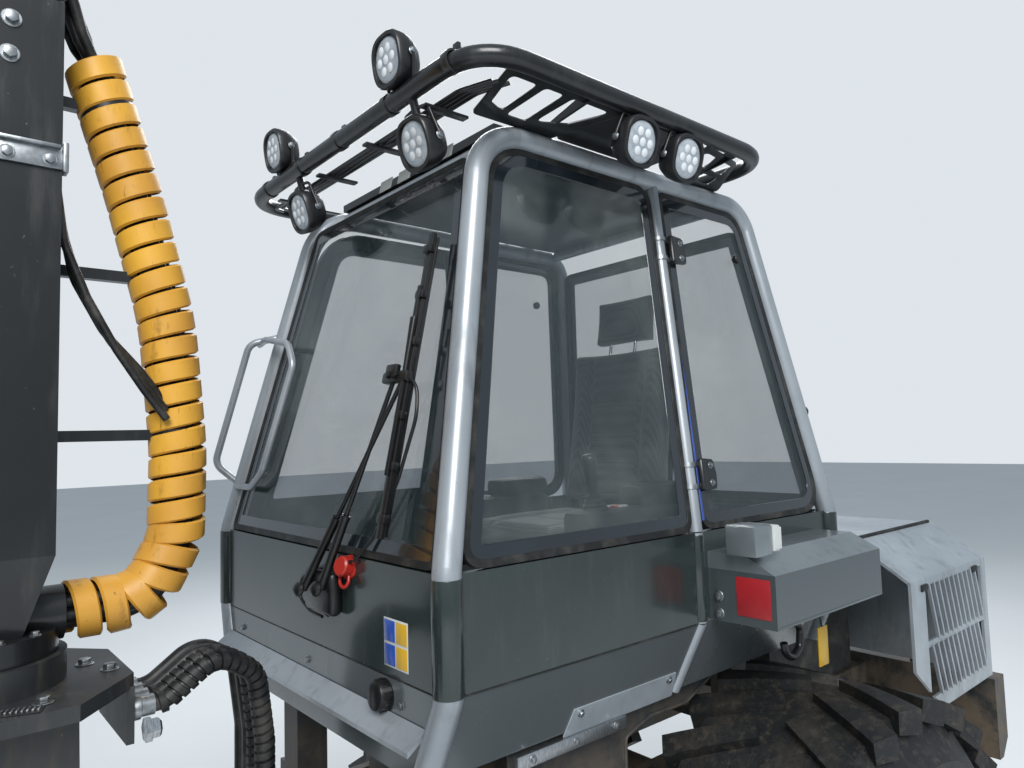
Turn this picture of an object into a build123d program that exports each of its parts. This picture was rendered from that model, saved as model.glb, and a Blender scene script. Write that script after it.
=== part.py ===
# Forwarder: an engine and cab unit on two wide wheels, hinged at a centre joint
# to a load unit on two bogies, with a folding crane behind the joint.
# Frame: +X to the engine end, +Y to the left, +Z up, origin on the ground
# below the middle of the overall length. All sizes in millimetres.
import os
from math import cos, pi, radians, sin, tan

from build123d import *

os.makedirs("parts", exist_ok=True)

# Clearances
seat_gap = 0.3
run_gap = 0.05

# Whole machine
engine_end = 3400.0
load_end = -3400.0
tyre_reach = 1025.0

# Centre joint
joint_x = 640.0
joint_z = 735.0
joint_pin_radius = 45.0
joint_ear_radius = 105.0
joint_ear_thickness = 32.0
joint_gap_height = 180.0
roll_shaft_radius = 70.0
roll_shaft_length = 300.0

arm_lug_gap = 21.0
arm_lug = 16.0
eye_pin_radius = 12.0
steer_base = (1160.0, 236.0)
steer_arm = (540.0, 180.0)

# Front chassis
frame_half_width = 300.0
frame_plate = 30.0
frame_bottom = 660.0
frame_top = 900.0

# Front wheels
front_axle_x = 2120.0
front_tyre_radius = 590.0
front_tyre_width = 600.0
front_rim_radius = 300.0
front_lugs = 24
lug_angle = 32.0
axle_box = 180.0
axle_drop = 70.0

# Bogies and their wheels
bogie_x = -1900.0
bogie_pivot_z = 500.0
bogie_half_base = 500.0
bogie_tyre_radius = 437.0
bogie_tyre_width = 400.0
bogie_rim_radius = 215.0
bogie_tyre_reach = 1005.0
bogie_lugs = 20
bogie_inner = 400.0
bogie_width = 140.0
bogie_shaft_radius = 55.0

# Cab tubes: belt corners, roof corners and what lies between
cab_x = 920.0
tube_radius = 30.15
post_radius = 19.0
seam_z = 1400.0
belt_z = 1637.0
roof_z = 2668.0
cab_floor_z = 1215.0
belt_half = 608.0
roof_half = 442.0
foot_half = 530.0
a_roof_x = cab_x + 243.0
b_belt_x = cab_x + 816.0
b_roof_x = cab_x + 895.0
c_belt_x = cab_x + 1533.0
c_roof_x = cab_x + 1366.0
corner_bend = 170.0
wall = 22.0
glass = 8.0

# Roof guard
guard_z = 2737.0
guard_radius = 24.0
guard_half = 654.0
guard_front_x = cab_x + 81.0
guard_rear_x = cab_x + 1207.0
guard_bend = 150.0
lamp_radius = 55.0
lamp_depth = 62.0

# Engine hood
hood_front_x = cab_x + 1711.0
hood_rear_x = cab_x + 2395.0
hood_half = 790.0
hood_top_half = 612.0
hood_top_z = 1515.0
hood_side_z = 1392.0
hood_bottom_z = 950.0
hood_skin = 10.0
hood_hinge = (cab_x + 2427.0, 988.0)
hood_hinge_y = (-520.0, 520.0)
hood_pin_radius = 12.0
slat_count = 11
slat_thickness = 6.0
slat_lean = 60.0

# Fender boxes
fender_x0 = cab_x + 850.0
fender_x1 = cab_x + 1440.0
fender_reach = 816.0
fender_top = 1584.0
fender_edge = 1540.0
fender_bottom = 1405.0

# Load unit
beam_half = 120.0
beam_bottom = 640.0
beam_top = 880.0
beam_front_x = 520.0
gate_x = -190.0
gate_half = 880.0
stake_top = 1900.0
bunk_z = 900.0
bunk_height = 130.0

# Crane
crane_x = 202.0
base_half = 260.0
base_top = 1443.0
column_half = 125.0
column_foot_z = 1500.0
boom_pin = (130.0, 3020.0)
boom_length = 3260.0
boom_angle = 8.0
jib_length = 1600.0
jib_angle = -14.0
jib_drop = 215.0


def bar(start, end, radius):
    """Adds a round bar between two points to the part in hand."""
    run = Vector(*end) - Vector(*start)
    with Locations(Plane(origin=start, z_dir=run)):
        Cylinder(radius, run.length, align=(Align.CENTER, Align.CENTER, Align.MIN))


def block(low, high, mode=Mode.ADD):
    """Adds a box between two corners to the part in hand."""
    size = Vector(*high) - Vector(*low)
    centre = (Vector(*high) + Vector(*low)) / 2
    with Locations(centre):
        Box(size.X, size.Y, size.Z, mode=mode)


def save(part, name):
    """Labels a finished piece and writes it."""
    part.label = name
    export_step(part, f"parts/{name}.step")


def polygon_plate(points, plane, thickness, mode=Mode.ADD, both=False):
    """Adds a flat plate with the given outline on a plane."""
    with BuildSketch(plane) as outline:
        with BuildLine():
            Polyline(*points, close=True)
        make_face()
    extrude(outline.sketch, amount=thickness, both=both, mode=mode)


side_up = Vector(0, belt_half - roof_half, roof_z - belt_z).normalized()
side_rise = Vector(0, belt_half - roof_half, roof_z - belt_z).length
front_rise = Vector(a_roof_x - cab_x, 0, roof_z - belt_z).length
right_plane = Plane(
    origin=(cab_x, -belt_half, belt_z), x_dir=(1, 0, 0), z_dir=Vector(1, 0, 0).cross(side_up)
)
left_plane = Plane(
    origin=(cab_x, belt_half, belt_z), x_dir=(1, 0, 0),
    z_dir=Vector(1, 0, 0).cross(Vector(0, -side_up.Y, side_up.Z)),
)
front_up = Vector(a_roof_x - cab_x, 0, roof_z - belt_z).normalized()
front_plane = Plane(
    origin=(cab_x, 0, belt_z), x_dir=(0, -1, 0), z_dir=Vector(0, -1, 0).cross(front_up)
)
rear_up = Vector(c_roof_x - c_belt_x, 0, roof_z - belt_z).normalized()
rear_plane = Plane(
    origin=(c_belt_x, 0, belt_z), x_dir=(0, 1, 0), z_dir=Vector(0, 1, 0).cross(rear_up)
)

# Front chassis: two long plates, cross members, the joint's two ears and the cab's posts
ear_low = joint_z - joint_gap_height / 2 - joint_ear_thickness
ear_high = joint_z + joint_gap_height / 2
ear_root_x = 900.0
ear_root_half = 240.0
frame_end_x = 3300.0
post_x = (1010.0, 2380.0)
post_half = 45.0
post_y = 250.0
step_x = 1290.0
step_half = 170.0
step_reach = 700.0
with BuildPart() as front_frame:
    for side in (-1, 1):
        block(
            (ear_root_x, side * frame_half_width - frame_plate / 2, frame_bottom),
            (frame_end_x, side * frame_half_width + frame_plate / 2, frame_top),
        )
        for x in post_x:
            block(
                (x - post_half, side * post_y - post_half, frame_top - frame_plate),
                (x + post_half, side * post_y + post_half, cab_floor_z),
            )
            block(
                (x - post_half, -frame_half_width, frame_top - frame_plate),
                (x + post_half, frame_half_width, frame_top),
            )
    block(
        (ear_root_x, -frame_half_width, ear_low),
        (ear_root_x + frame_plate, frame_half_width, frame_top),
    )
    block(
        (frame_end_x - frame_plate, -frame_half_width, frame_bottom),
        (frame_end_x, frame_half_width, frame_top),
    )
    for side in (-1, 1):
        block(
            (ear_root_x - 5, min(side * 100, side * (frame_half_width - 15)), joint_z - 62),
            (ear_root_x + frame_plate + 5, max(side * 100, side * (frame_half_width - 15)),
             joint_z + 62),
            mode=Mode.SUBTRACT,
        )
        for level in (-1, 1):
            near = joint_z + level * arm_lug_gap
            far = joint_z + level * (arm_lug_gap + arm_lug)
            block(
                (steer_base[0] - 34, min(side * 205, side * frame_half_width), min(near, far)),
                (steer_base[0] + 34, max(side * 205, side * frame_half_width), max(near, far)),
            )
        pin_end = arm_lug_gap + arm_lug + 8
        bar((steer_base[0], side * steer_base[1], joint_z - pin_end),
            (steer_base[0], side * steer_base[1], joint_z + pin_end), eye_pin_radius)
    for x in (step_x - step_half, step_x + step_half - 12):
        block((x, frame_half_width, 800), (x + 12, step_reach, 830))
        block((x, step_reach - 40, 430), (x + 12, step_reach, 830))
    for z in (430, 680):
        block((step_x - step_half, step_reach - 170, z), (step_x + step_half, step_reach, z + 12))
    for z in (ear_low, ear_high):
        with BuildSketch(Plane.XY.offset(z)) as ear:
            with Locations((joint_x, 0)):
                Circle(joint_ear_radius)
            with BuildLine():
                Polyline(
                    (joint_x, joint_ear_radius),
                    (ear_root_x, ear_root_half),
                    (ear_root_x, -ear_root_half),
                    (joint_x, -joint_ear_radius),
                    close=True,
                )
            make_face()
            with Locations((joint_x, 0)):
                Circle(joint_pin_radius + run_gap, mode=Mode.SUBTRACT)
        extrude(ear.sketch, amount=joint_ear_thickness)
save(front_frame.part, "front_frame")

# Front axle: box beam, middle gear case, hubs and spindles
spindle_radius = 52.0
hub_flange_radius = 120.0
axle_end = front_tyre_width / 2 + 90.0
front_wheel_y = tyre_reach - front_tyre_width / 2
front_hub_face = front_wheel_y - 110.0
with BuildPart() as front_axle:
    block(
        (front_axle_x - axle_box / 2, -axle_end, front_tyre_radius - axle_drop),
        (front_axle_x + axle_box / 2, axle_end, frame_bottom),
    )
    bar((front_axle_x, -150, front_tyre_radius), (front_axle_x, 150, front_tyre_radius), 165)
    for side in (-1, 1):
        bar(
            (front_axle_x, side * axle_end, front_tyre_radius),
            (front_axle_x, side * (front_hub_face - seat_gap), front_tyre_radius),
            hub_flange_radius,
        )
        bar(
            (front_axle_x, side * axle_end, front_tyre_radius),
            (front_axle_x, side * (front_wheel_y + 40), front_tyre_radius),
            spindle_radius,
        )
save(front_axle.part, "front_axle")

# Engine as one heavy block on the chassis plates
with BuildPart() as engine_block:
    block(
        (hood_front_x - 60, -frame_half_width, frame_top + seat_gap),
        (hood_rear_x - 120, frame_half_width, hood_side_z - 60),
    )
save(engine_block.part, "engine_block")


def tyre(radius, width, rim_radius, lugs):
    """A wide tyre about the Y axis: rounded carcass and two rows of slanting lugs."""
    lug_height = 0.05 * radius
    lug_width = 0.42 * 2 * pi * radius / lugs
    carcass = radius - lug_height
    half = width / 2
    shoulder = 0.19 * width
    rows = [(-1, -0.25), (1, 0.25)]
    lug_planes = []
    for row, phase in rows:
        for index in range(lugs):
            angle = radians(360.0 * (index + phase) / lugs)
            across = Vector(cos(angle), row * tan(radians(lug_angle)), -sin(angle)).normalized()
            lug_planes.append(
                Plane(
                    origin=(carcass * sin(angle), row * 0.25 * width, carcass * cos(angle)),
                    x_dir=across,
                    z_dir=(sin(angle), 0, cos(angle)),
                )
            )
    with BuildPart() as body:
        with BuildSketch(Plane.YZ) as section:
            with BuildLine():
                Polyline(
                    (-0.40 * width, rim_radius),
                    (-half, rim_radius + 0.35 * (carcass - rim_radius)),
                    (-half, carcass - shoulder),
                    (-half + shoulder * 0.8, carcass),
                    (half - shoulder * 0.8, carcass),
                    (half, carcass - shoulder),
                    (half, rim_radius + 0.35 * (carcass - rim_radius)),
                    (0.40 * width, rim_radius),
                    close=True,
                )
            make_face()
        revolve(section.sketch, axis=Axis.Y)
        with Locations(*lug_planes):
            Box(lug_width, 0.44 * width, 2.4 * lug_height)
        with Locations(Plane.XZ):
            Cylinder(radius, width, mode=Mode.INTERSECT)
    return body.part


def rim(radius, width, bore, hub_radius):
    """A dished rim about the Y axis, its disc towards +Y, with hub boss and bore."""
    flange = 12.0
    disc = 16.0
    seat = 0.40 * width
    disc_y = 0.05 * width
    with BuildPart() as body:
        with BuildSketch(Plane.YZ) as section:
            with BuildLine():
                Polyline(
                    (-seat, radius - seat_gap),
                    (-seat, radius - 3 * flange),
                    (-seat + flange, radius - 3 * flange),
                    (-seat + flange, radius - 2 * flange),
                    (seat - flange, radius - 2 * flange),
                    (seat - flange, radius - 3 * flange),
                    (seat, radius - 3 * flange),
                    (seat, radius - seat_gap),
                    close=True,
                )
            make_face()
            with Locations((disc_y, (radius - 2 * flange + bore) / 2)):
                Rectangle(disc, radius - 2 * flange - bore)
            with Locations((disc_y - disc, (hub_radius + bore) / 2)):
                Rectangle(5 * disc, hub_radius - bore)
        revolve(section.sketch, axis=Axis.Y)
    return body.part


# Wheels: tyre radius, width, rim radius, reach, spindle, hub, lugs
bogie_spindle = 42.0
bogie_hub = 85.0
wheel_kinds = {
    "front": (front_tyre_radius, front_tyre_width, front_rim_radius, tyre_reach,
              spindle_radius, hub_flange_radius, front_lugs),
    "bogie": (bogie_tyre_radius, bogie_tyre_width, bogie_rim_radius, bogie_tyre_reach,
              bogie_spindle, bogie_hub, bogie_lugs),
}
# Wheel places: name, kind, centre x
wheel_places = [
    ("front", "front", front_axle_x),
    ("bogie_fore", "bogie", bogie_x + bogie_half_base),
    ("bogie_aft", "bogie", bogie_x - bogie_half_base),
]
for kind, (radius, width, rim_radius, reach, spindle, hub, lugs) in wheel_kinds.items():
    left_tyre = tyre(radius, width, rim_radius, lugs)
    left_rim = rim(rim_radius, width, spindle + run_gap, hub)
    right_tyre = left_tyre.mirror(Plane.XZ)
    right_rim = left_rim.mirror(Plane.XZ)
    for name, place_kind, x in wheel_places:
        if place_kind == kind:
            y = reach - width / 2
            save(Pos(x, y, radius) * left_tyre, f"tyre_{name}_left")
            save(Pos(x, y, radius) * left_rim, f"rim_{name}_left")
            save(Pos(x, -y, radius) * right_tyre, f"tyre_{name}_right")
            save(Pos(x, -y, radius) * right_rim, f"rim_{name}_right")

# Cab tubes: one bent tube a side from foot to foot over the roof, door posts, cross tubes
foot_x = cab_x - 9.0
tub_front = cab_x - 12.0
ledge_x = cab_x - 62.0
ledge_half = 552.0
b_foot_lean = 28.0
header_x = a_roof_x + corner_bend * 0.55
with BuildPart() as cab_frame:
    for side in (-1, 1):
        with BuildLine() as hoop:
            FilletPolyline(
                (foot_x, side * foot_half, cab_floor_z),
                (cab_x, side * belt_half, seam_z),
                (cab_x, side * belt_half, belt_z),
                (a_roof_x, side * roof_half, roof_z),
                (c_roof_x, side * roof_half, roof_z),
                (c_belt_x, side * belt_half, belt_z),
                (c_belt_x, side * belt_half, seam_z),
                (c_belt_x, side * foot_half, cab_floor_z),
                radius=[70, 90, corner_bend, corner_bend * 0.6, 90, 70],
            )
        with BuildSketch(Plane(hoop.line @ 0, z_dir=hoop.line % 0)) as tube:
            Circle(tube_radius)
        sweep(tube.sketch, path=hoop.line)
        bar(
            (b_belt_x, side * belt_half, belt_z),
            (b_roof_x, side * roof_half, roof_z),
            post_radius,
        )
        bar((b_belt_x, side * belt_half, seam_z), (b_belt_x, side * belt_half, belt_z), post_radius)
        bar(
            (b_belt_x - b_foot_lean, side * foot_half, cab_floor_z),
            (b_belt_x, side * belt_half, seam_z),
            post_radius,
        )
    bar((header_x, -roof_half, roof_z), (header_x, roof_half, roof_z), post_radius)
    polygon_plate(
        [(tub_front - 6, 1330), (ledge_x, 1297), (ledge_x, 1287), (tub_front - 6, 1318)],
        Plane.XZ.offset(-ledge_half), 2 * ledge_half,
    )
    bar(
        (c_roof_x - 60, -roof_half, roof_z), (c_roof_x - 60, roof_half, roof_z), post_radius
    )
save(cab_frame.part, "cab_frame")


def cab_tubes(extra):
    """The tubes again, grown by a clearance and run on below the floor, to cut panels with."""
    run_on = 80.0 / (seam_z - cab_floor_z)
    low_y = foot_half - run_on * (belt_half - foot_half)
    low_z = cab_floor_z - run_on * (seam_z - cab_floor_z)
    with BuildPart() as grown:
        for side in (-1, 1):
            with BuildLine() as hoop:
                FilletPolyline(
                    (foot_x - run_on * (cab_x - foot_x), side * low_y, low_z),
                    (cab_x, side * belt_half, seam_z),
                    (cab_x, side * belt_half, belt_z),
                    (a_roof_x, side * roof_half, roof_z),
                    (c_roof_x, side * roof_half, roof_z),
                    (c_belt_x, side * belt_half, belt_z),
                    (c_belt_x, side * belt_half, seam_z),
                    (c_belt_x, side * low_y, low_z),
                    radius=[70, 90, corner_bend, corner_bend * 0.6, 90, 70],
                )
            with BuildSketch(Plane(hoop.line @ 0, z_dir=hoop.line % 0)) as tube:
                Circle(tube_radius + extra)
            sweep(tube.sketch, path=hoop.line)
            bar(
                (b_belt_x, side * belt_half, seam_z),
                (b_belt_x, side * belt_half, belt_z),
                post_radius + extra,
            )
            bar(
                (b_belt_x, side * belt_half, belt_z),
                (b_roof_x, side * roof_half, roof_z),
                post_radius + extra,
            )
            bar(
                (b_belt_x - b_foot_lean * (1 + run_on), side * low_y, low_z),
                (b_belt_x, side * belt_half, seam_z),
                post_radius + extra,
            )
    return grown.part


tube_cutter = cab_tubes(seat_gap)

# Cab tub: belt panels, inclined lower panels and floor, cut where the left door hangs
tub_rear = c_belt_x + 12.0
door_front_x = cab_x + tube_radius + 8.0
door_rear_x = b_belt_x - post_radius - 8.0
door_sill_z = 1262.0
with BuildPart() as cab_tub:
    block((tub_front, -belt_half - 10, seam_z), (tub_rear, belt_half + 10, belt_z))
    with BuildSketch(Plane.XY.offset(cab_floor_z)) as foot:
        with Locations(((foot_x - 12 + tub_rear) / 2, 0)):
            Rectangle(tub_rear - foot_x + 12, 2 * (foot_half + 10))
    with BuildSketch(Plane.XY.offset(seam_z)) as seam:
        with Locations(((tub_front + tub_rear) / 2, 0)):
            Rectangle(tub_rear - tub_front, 2 * (belt_half + 10))
    loft([foot.sketch, seam.sketch])
    block(
        (tub_front + wall, -belt_half - 10 + wall, seam_z),
        (tub_rear - wall, belt_half + 10 - wall, belt_z),
        mode=Mode.SUBTRACT,
    )
    with BuildSketch(Plane.XY.offset(cab_floor_z + wall)) as inner_foot:
        with Locations(((tub_front + tub_rear) / 2, 0)):
            Rectangle(tub_rear - tub_front - 2 * wall, 2 * (foot_half + 10 - wall))
    with BuildSketch(Plane.XY.offset(seam_z)) as inner_seam:
        with Locations(((tub_front + tub_rear) / 2, 0)):
            Rectangle(tub_rear - tub_front - 2 * wall, 2 * (belt_half + 10 - wall))
    loft([inner_foot.sketch, inner_seam.sketch], mode=Mode.SUBTRACT)
    block(
        (door_front_x - 8, foot_half - 60, door_sill_z - 4),
        (b_belt_x, belt_half + 60, belt_z + 10),
        mode=Mode.SUBTRACT,
    )
    add(tube_cutter, mode=Mode.SUBTRACT)
save(cab_tub.part, "cab_tub")

# Roof skin between the side tubes
with BuildPart() as cab_roof:
    block(
        (a_roof_x + 70, -roof_half + tube_radius + seat_gap, roof_z + post_radius + seat_gap),
        (c_roof_x - 20, roof_half - tube_radius - seat_gap, roof_z + tube_radius + 12),
    )
save(cab_roof.part, "cab_roof")


def window(plane, points, bends, thickness=glass):
    """A flat pane with its own radius at each corner, centred on its plane."""
    with BuildSketch(plane) as pane:
        with BuildLine():
            FilletPolyline(*points, radius=bends, close=True)
        make_face()
    return extrude(pane.sketch, amount=thickness / 2, both=True, mode=Mode.PRIVATE)


# Glass: place along x at a share of the way up each post
edge = 0.4
a_slope = (a_roof_x - cab_x) / side_rise
b_slope = (b_roof_x - b_belt_x) / side_rise
c_slope = (c_roof_x - c_belt_x) / side_rise
pane_low = 1.3
front_bend = 150.0
quarter_bends = [60, 110, 95, 45]
pane_high = side_rise - tube_radius - edge
b_local = b_belt_x - cab_x
c_local = c_belt_x - cab_x


def side_pane(post_front, slope_front, gap_front, post_rear, slope_rear, gap_rear, low, high):
    """Corners of a side pane between two sloping posts."""
    return [
        (post_front + slope_front * low + gap_front, low),
        (post_rear + slope_rear * low - gap_rear, low),
        (post_rear + slope_rear * high - gap_rear, high),
        (post_front + slope_front * high + gap_front, high),
    ]


tube_gap = (tube_radius + edge) * Vector(1, a_slope, 0).length
post_gap = (post_radius + edge) * Vector(1, b_slope, 0).length
fixed_corners = side_pane(0, a_slope, tube_gap, b_local, b_slope, post_gap, pane_low, pane_high)
quarter_corners = side_pane(
    b_local, b_slope, post_gap, c_local, c_slope, tube_gap, pane_low, pane_high
)
# Door hinge line: outboard of the left middle post and parallel to it
hinge_out = 46.0
hinge_pin_radius = 8.0
hinge_knuckle = 17.0
hinge_places = (150.0, 820.0)
hinge_length = 40.0
hinge_line = left_plane.offset(-hinge_out)
post_run = (left_plane.x_dir * b_slope + Vector(0, -side_up.Y, side_up.Z)).normalized()


def hinge_point(place):
    """A point on the door's hinge line, by its height up the window."""
    return hinge_line.from_local_coords(Vector(b_local + b_slope * place, place, 0))


with BuildPart() as door_hinges:
    for place in hinge_places:
        foot = hinge_point(place)
        post_point = foot + left_plane.z_dir * hinge_out
        bar(tuple(foot - post_run * 24), tuple(foot), hinge_knuckle)
        bar(tuple(foot - post_run * 4), tuple(foot + post_run * hinge_length), hinge_pin_radius)
        bar(tuple(foot - post_run * 12),
            tuple(post_point - left_plane.z_dir * (post_radius + seat_gap) - post_run * 12), 11)
save(door_hinges.part, "door_hinges")
pane_drop = 70.0


def end_corners(rise):
    """Corners of a front or rear pane, between the two side tubes."""
    slope = (belt_half - roof_half) / rise
    gap = (tube_radius + edge) * Vector(1, slope, 0).length
    high = rise - pane_drop
    return [
        (-belt_half + gap + slope * pane_low, pane_low),
        (belt_half - gap - slope * pane_low, pane_low),
        (belt_half - gap - slope * high, high),
        (-belt_half + gap + slope * high, high),
    ]


rear_rise = Vector(c_roof_x - c_belt_x, 0, roof_z - belt_z).length
with BuildPart() as cab_glass:
    add(window(front_plane, end_corners(front_rise), [30, 30, 40, 40]))
    add(window(rear_plane, end_corners(rear_rise), [30, 30, 40, 40]))
    add(window(right_plane, fixed_corners, [55, 45, 45, front_bend]))
    add(window(left_plane, quarter_corners, quarter_bends))
save(cab_glass.part, "cab_glass")

# Hinged quarter window on the right
with BuildPart() as quarter_window:
    add(window(right_plane, quarter_corners, quarter_bends))
save(quarter_window.part, "quarter_window")

# Left door: belt and lower panels round a window, hung on the middle post
with BuildPart() as door:
    with BuildSketch(left_plane) as leaf:
        with BuildLine():
            FilletPolyline(
                *side_pane(0, a_slope, tube_radius + 8, b_local, b_slope, post_radius + 8,
                           0, side_rise - tube_radius - 10),
                radius=[1, 1, 20, front_bend + 15],
                close=True,
            )
        make_face()
        with BuildLine():
            FilletPolyline(
                *side_pane(0, a_slope, tube_gap + 40, b_local, b_slope, post_gap + 30,
                           60, side_rise - tube_radius - 60),
                radius=[55.3, 45.3, 45.3, front_bend - 29.7],
                close=True,
            )
        make_face(mode=Mode.SUBTRACT)
    extrude(leaf.sketch, amount=wall / 2, both=True)
    block(
        (door_front_x, belt_half - wall / 2, seam_z),
        (door_rear_x, belt_half + wall / 2, belt_z + 4),
    )
    lean = (belt_half - foot_half) / (seam_z - cab_floor_z)
    sill_y = belt_half - lean * (seam_z - door_sill_z)
    with BuildSketch(Plane.YZ.offset(door_front_x)) as skirt:
        with BuildLine():
            Polyline(
                (belt_half - wall / 2, seam_z),
                (sill_y - wall / 2, door_sill_z),
                (sill_y + wall / 2, door_sill_z),
                (belt_half + wall / 2, seam_z),
                close=True,
            )
        make_face()
    extrude(skirt.sketch, amount=door_rear_x - 30 - door_front_x)
    for place in hinge_places:
        foot = hinge_point(place) + post_run * seat_gap
        with Locations(Plane(origin=foot, z_dir=post_run)):
            Cylinder(hinge_knuckle, hinge_length - 6,
                     align=(Align.CENTER, Align.CENTER, Align.MIN))
        leaf_point = foot - left_plane.x_dir * 45 + left_plane.z_dir * (hinge_out - 4)
        bar(tuple(foot + post_run * 17), tuple(leaf_point + post_run * 17), 12)
        with Locations(Plane(origin=foot - post_run * 2, z_dir=post_run)):
            Cylinder(hinge_pin_radius + run_gap, hinge_length + 4, mode=Mode.SUBTRACT,
                     align=(Align.CENTER, Align.CENTER, Align.MIN))
save(door.part, "door")

with BuildPart() as door_glass:
    add(
        window(
            left_plane,
            side_pane(0, a_slope, tube_gap + 40.3, b_local, b_slope, post_gap + 30.3,
                      60.3, side_rise - tube_radius - 60.3),
            [55, 45, 45, front_bend - 30],
        )
    )
save(door_glass.part, "door_glass")

# Work lights: place on the guard ring, facing, and place along the lamp's own upright
work_light_places = [
    (guard_front_x, -350.0, (-1, 0, -0.15), 84.0),
    (guard_front_x, 340.0, (-1, 0, -0.15), 84.0),
    (guard_front_x, -385.0, (-1, 0, -0.3), -125.0),
    (guard_front_x, 260.0, (-1, 0, -0.3), -125.0),
    (cab_x + 596.0, -guard_half, (0, -1, -0.3), -85.0),
    (cab_x + 788.0, -guard_half, (0, -1, -0.3), -85.0),
    (cab_x + 596.0, guard_half, (0, 1, -0.15), 84.0),
    (cab_x + 788.0, guard_half, (0, 1, -0.15), 84.0),
]


def lamp_upright(facing):
    """The direction square to a lamp's facing that points up."""
    aim = Vector(*facing).normalized()
    return (Vector(0, 0, 1) - aim * aim.Z).normalized()


with BuildPart() as work_lights:
    for x, y, facing, reach in work_light_places:
        centre = Vector(x, y, guard_z) + lamp_upright(facing) * reach
        with Locations(Plane(origin=centre, z_dir=facing)):
            Cylinder(lamp_radius, lamp_depth)
save(work_lights.part, "work_lights")

# Roof guard: ring tube on plates over the roof tubes, and a short bar to each lamp
guard_post_z = roof_z + tube_radius + seat_gap
with BuildSketch(Plane.XY.offset(guard_z)) as ring:
    with Locations(((guard_front_x + guard_rear_x) / 2, 0)):
        RectangleRounded(guard_rear_x - guard_front_x, 2 * guard_half, guard_bend)
with BuildPart() as roof_guard:
    ring_path = ring.sketch.faces()[0].outer_wire()
    with BuildSketch(Plane(ring_path @ 0, z_dir=ring_path % 0)) as ring_tube:
        Circle(guard_radius)
    sweep(ring_tube.sketch, path=ring_path)
    for side in (-1, 1):
        for x in (a_roof_x + 190, c_roof_x - 150):
            with BuildSketch(Plane.YZ.offset(x)) as stay:
                with BuildLine():
                    Polyline(
                        (side * (roof_half - 20), guard_post_z),
                        (side * (roof_half + 20), guard_post_z),
                        (side * (guard_half), guard_z - 18),
                        (side * (guard_half), guard_z + 18),
                        close=True,
                    )
                make_face()
            extrude(stay.sketch, amount=8)
    for x, y, facing, reach in work_light_places:
        root = Vector(x, y, guard_z)
        touch = abs(reach) - lamp_radius - seat_gap
        upright = lamp_upright(facing) * (1 if reach > 0 else -1)
        bar(tuple(root), tuple(root + upright * touch), 11)
save(roof_guard.part, "roof_guard")

# Seat facing the crane, on a pedestal
seat_x = cab_x + 960.0
seat_half = 240.0
with BuildPart() as seat:
    block((seat_x - 150, -150, cab_floor_z + wall + seat_gap), (seat_x + 150, 150, 1520))
    block((seat_x - 270, -seat_half, 1520), (seat_x + 230, seat_half, 1650))
    with BuildSketch(Plane.XZ.offset(-seat_half)) as back:
        with BuildLine():
            Polyline(
                (seat_x + 150, 1650), (seat_x + 270, 1650), (seat_x + 350, 2230),
                (seat_x + 250, 2230), close=True,
            )
        make_face()
    extrude(back.sketch, amount=2 * seat_half)
    with BuildSketch(Plane.XZ.offset(-130)) as head:
        with BuildLine():
            Polyline(
                (seat_x + 250, 2230), (seat_x + 350, 2230), (seat_x + 375, 2420),
                (seat_x + 275, 2420), close=True,
            )
        make_face()
    extrude(head.sketch, amount=260)
save(seat.part, "seat")

# Armrest pods beside the seat and the screen on its stalk
with BuildPart() as console:
    for side in (-1, 1):
        block(
            (seat_x - 330, side * 330 - 60, 1560),
            (seat_x + 150, side * 330 + 60, 1760),
        )
        block(
            (seat_x - 60, side * 330 - 40, cab_floor_z + wall + seat_gap),
            (seat_x + 60, side * 330 + 40, 1560),
        )
save(console.part, "console")

# Fender boxes against the cab's sides, over the front wheels
fender_inner = belt_half + 10 + seat_gap
with BuildPart() as fenders:
    for side in (-1, 1):
        with BuildSketch(Plane.YZ.offset(fender_x0)) as box:
            with BuildLine():
                Polyline(
                    (side * fender_inner, fender_bottom),
                    (side * fender_reach, fender_bottom),
                    (side * fender_reach, fender_edge),
                    (side * (fender_reach - 85), fender_top),
                    (side * fender_inner, fender_top),
                    close=True,
                )
            make_face()
        extrude(box.sketch, amount=fender_x1 - fender_x0)
save(fenders.part, "fenders")

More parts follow.
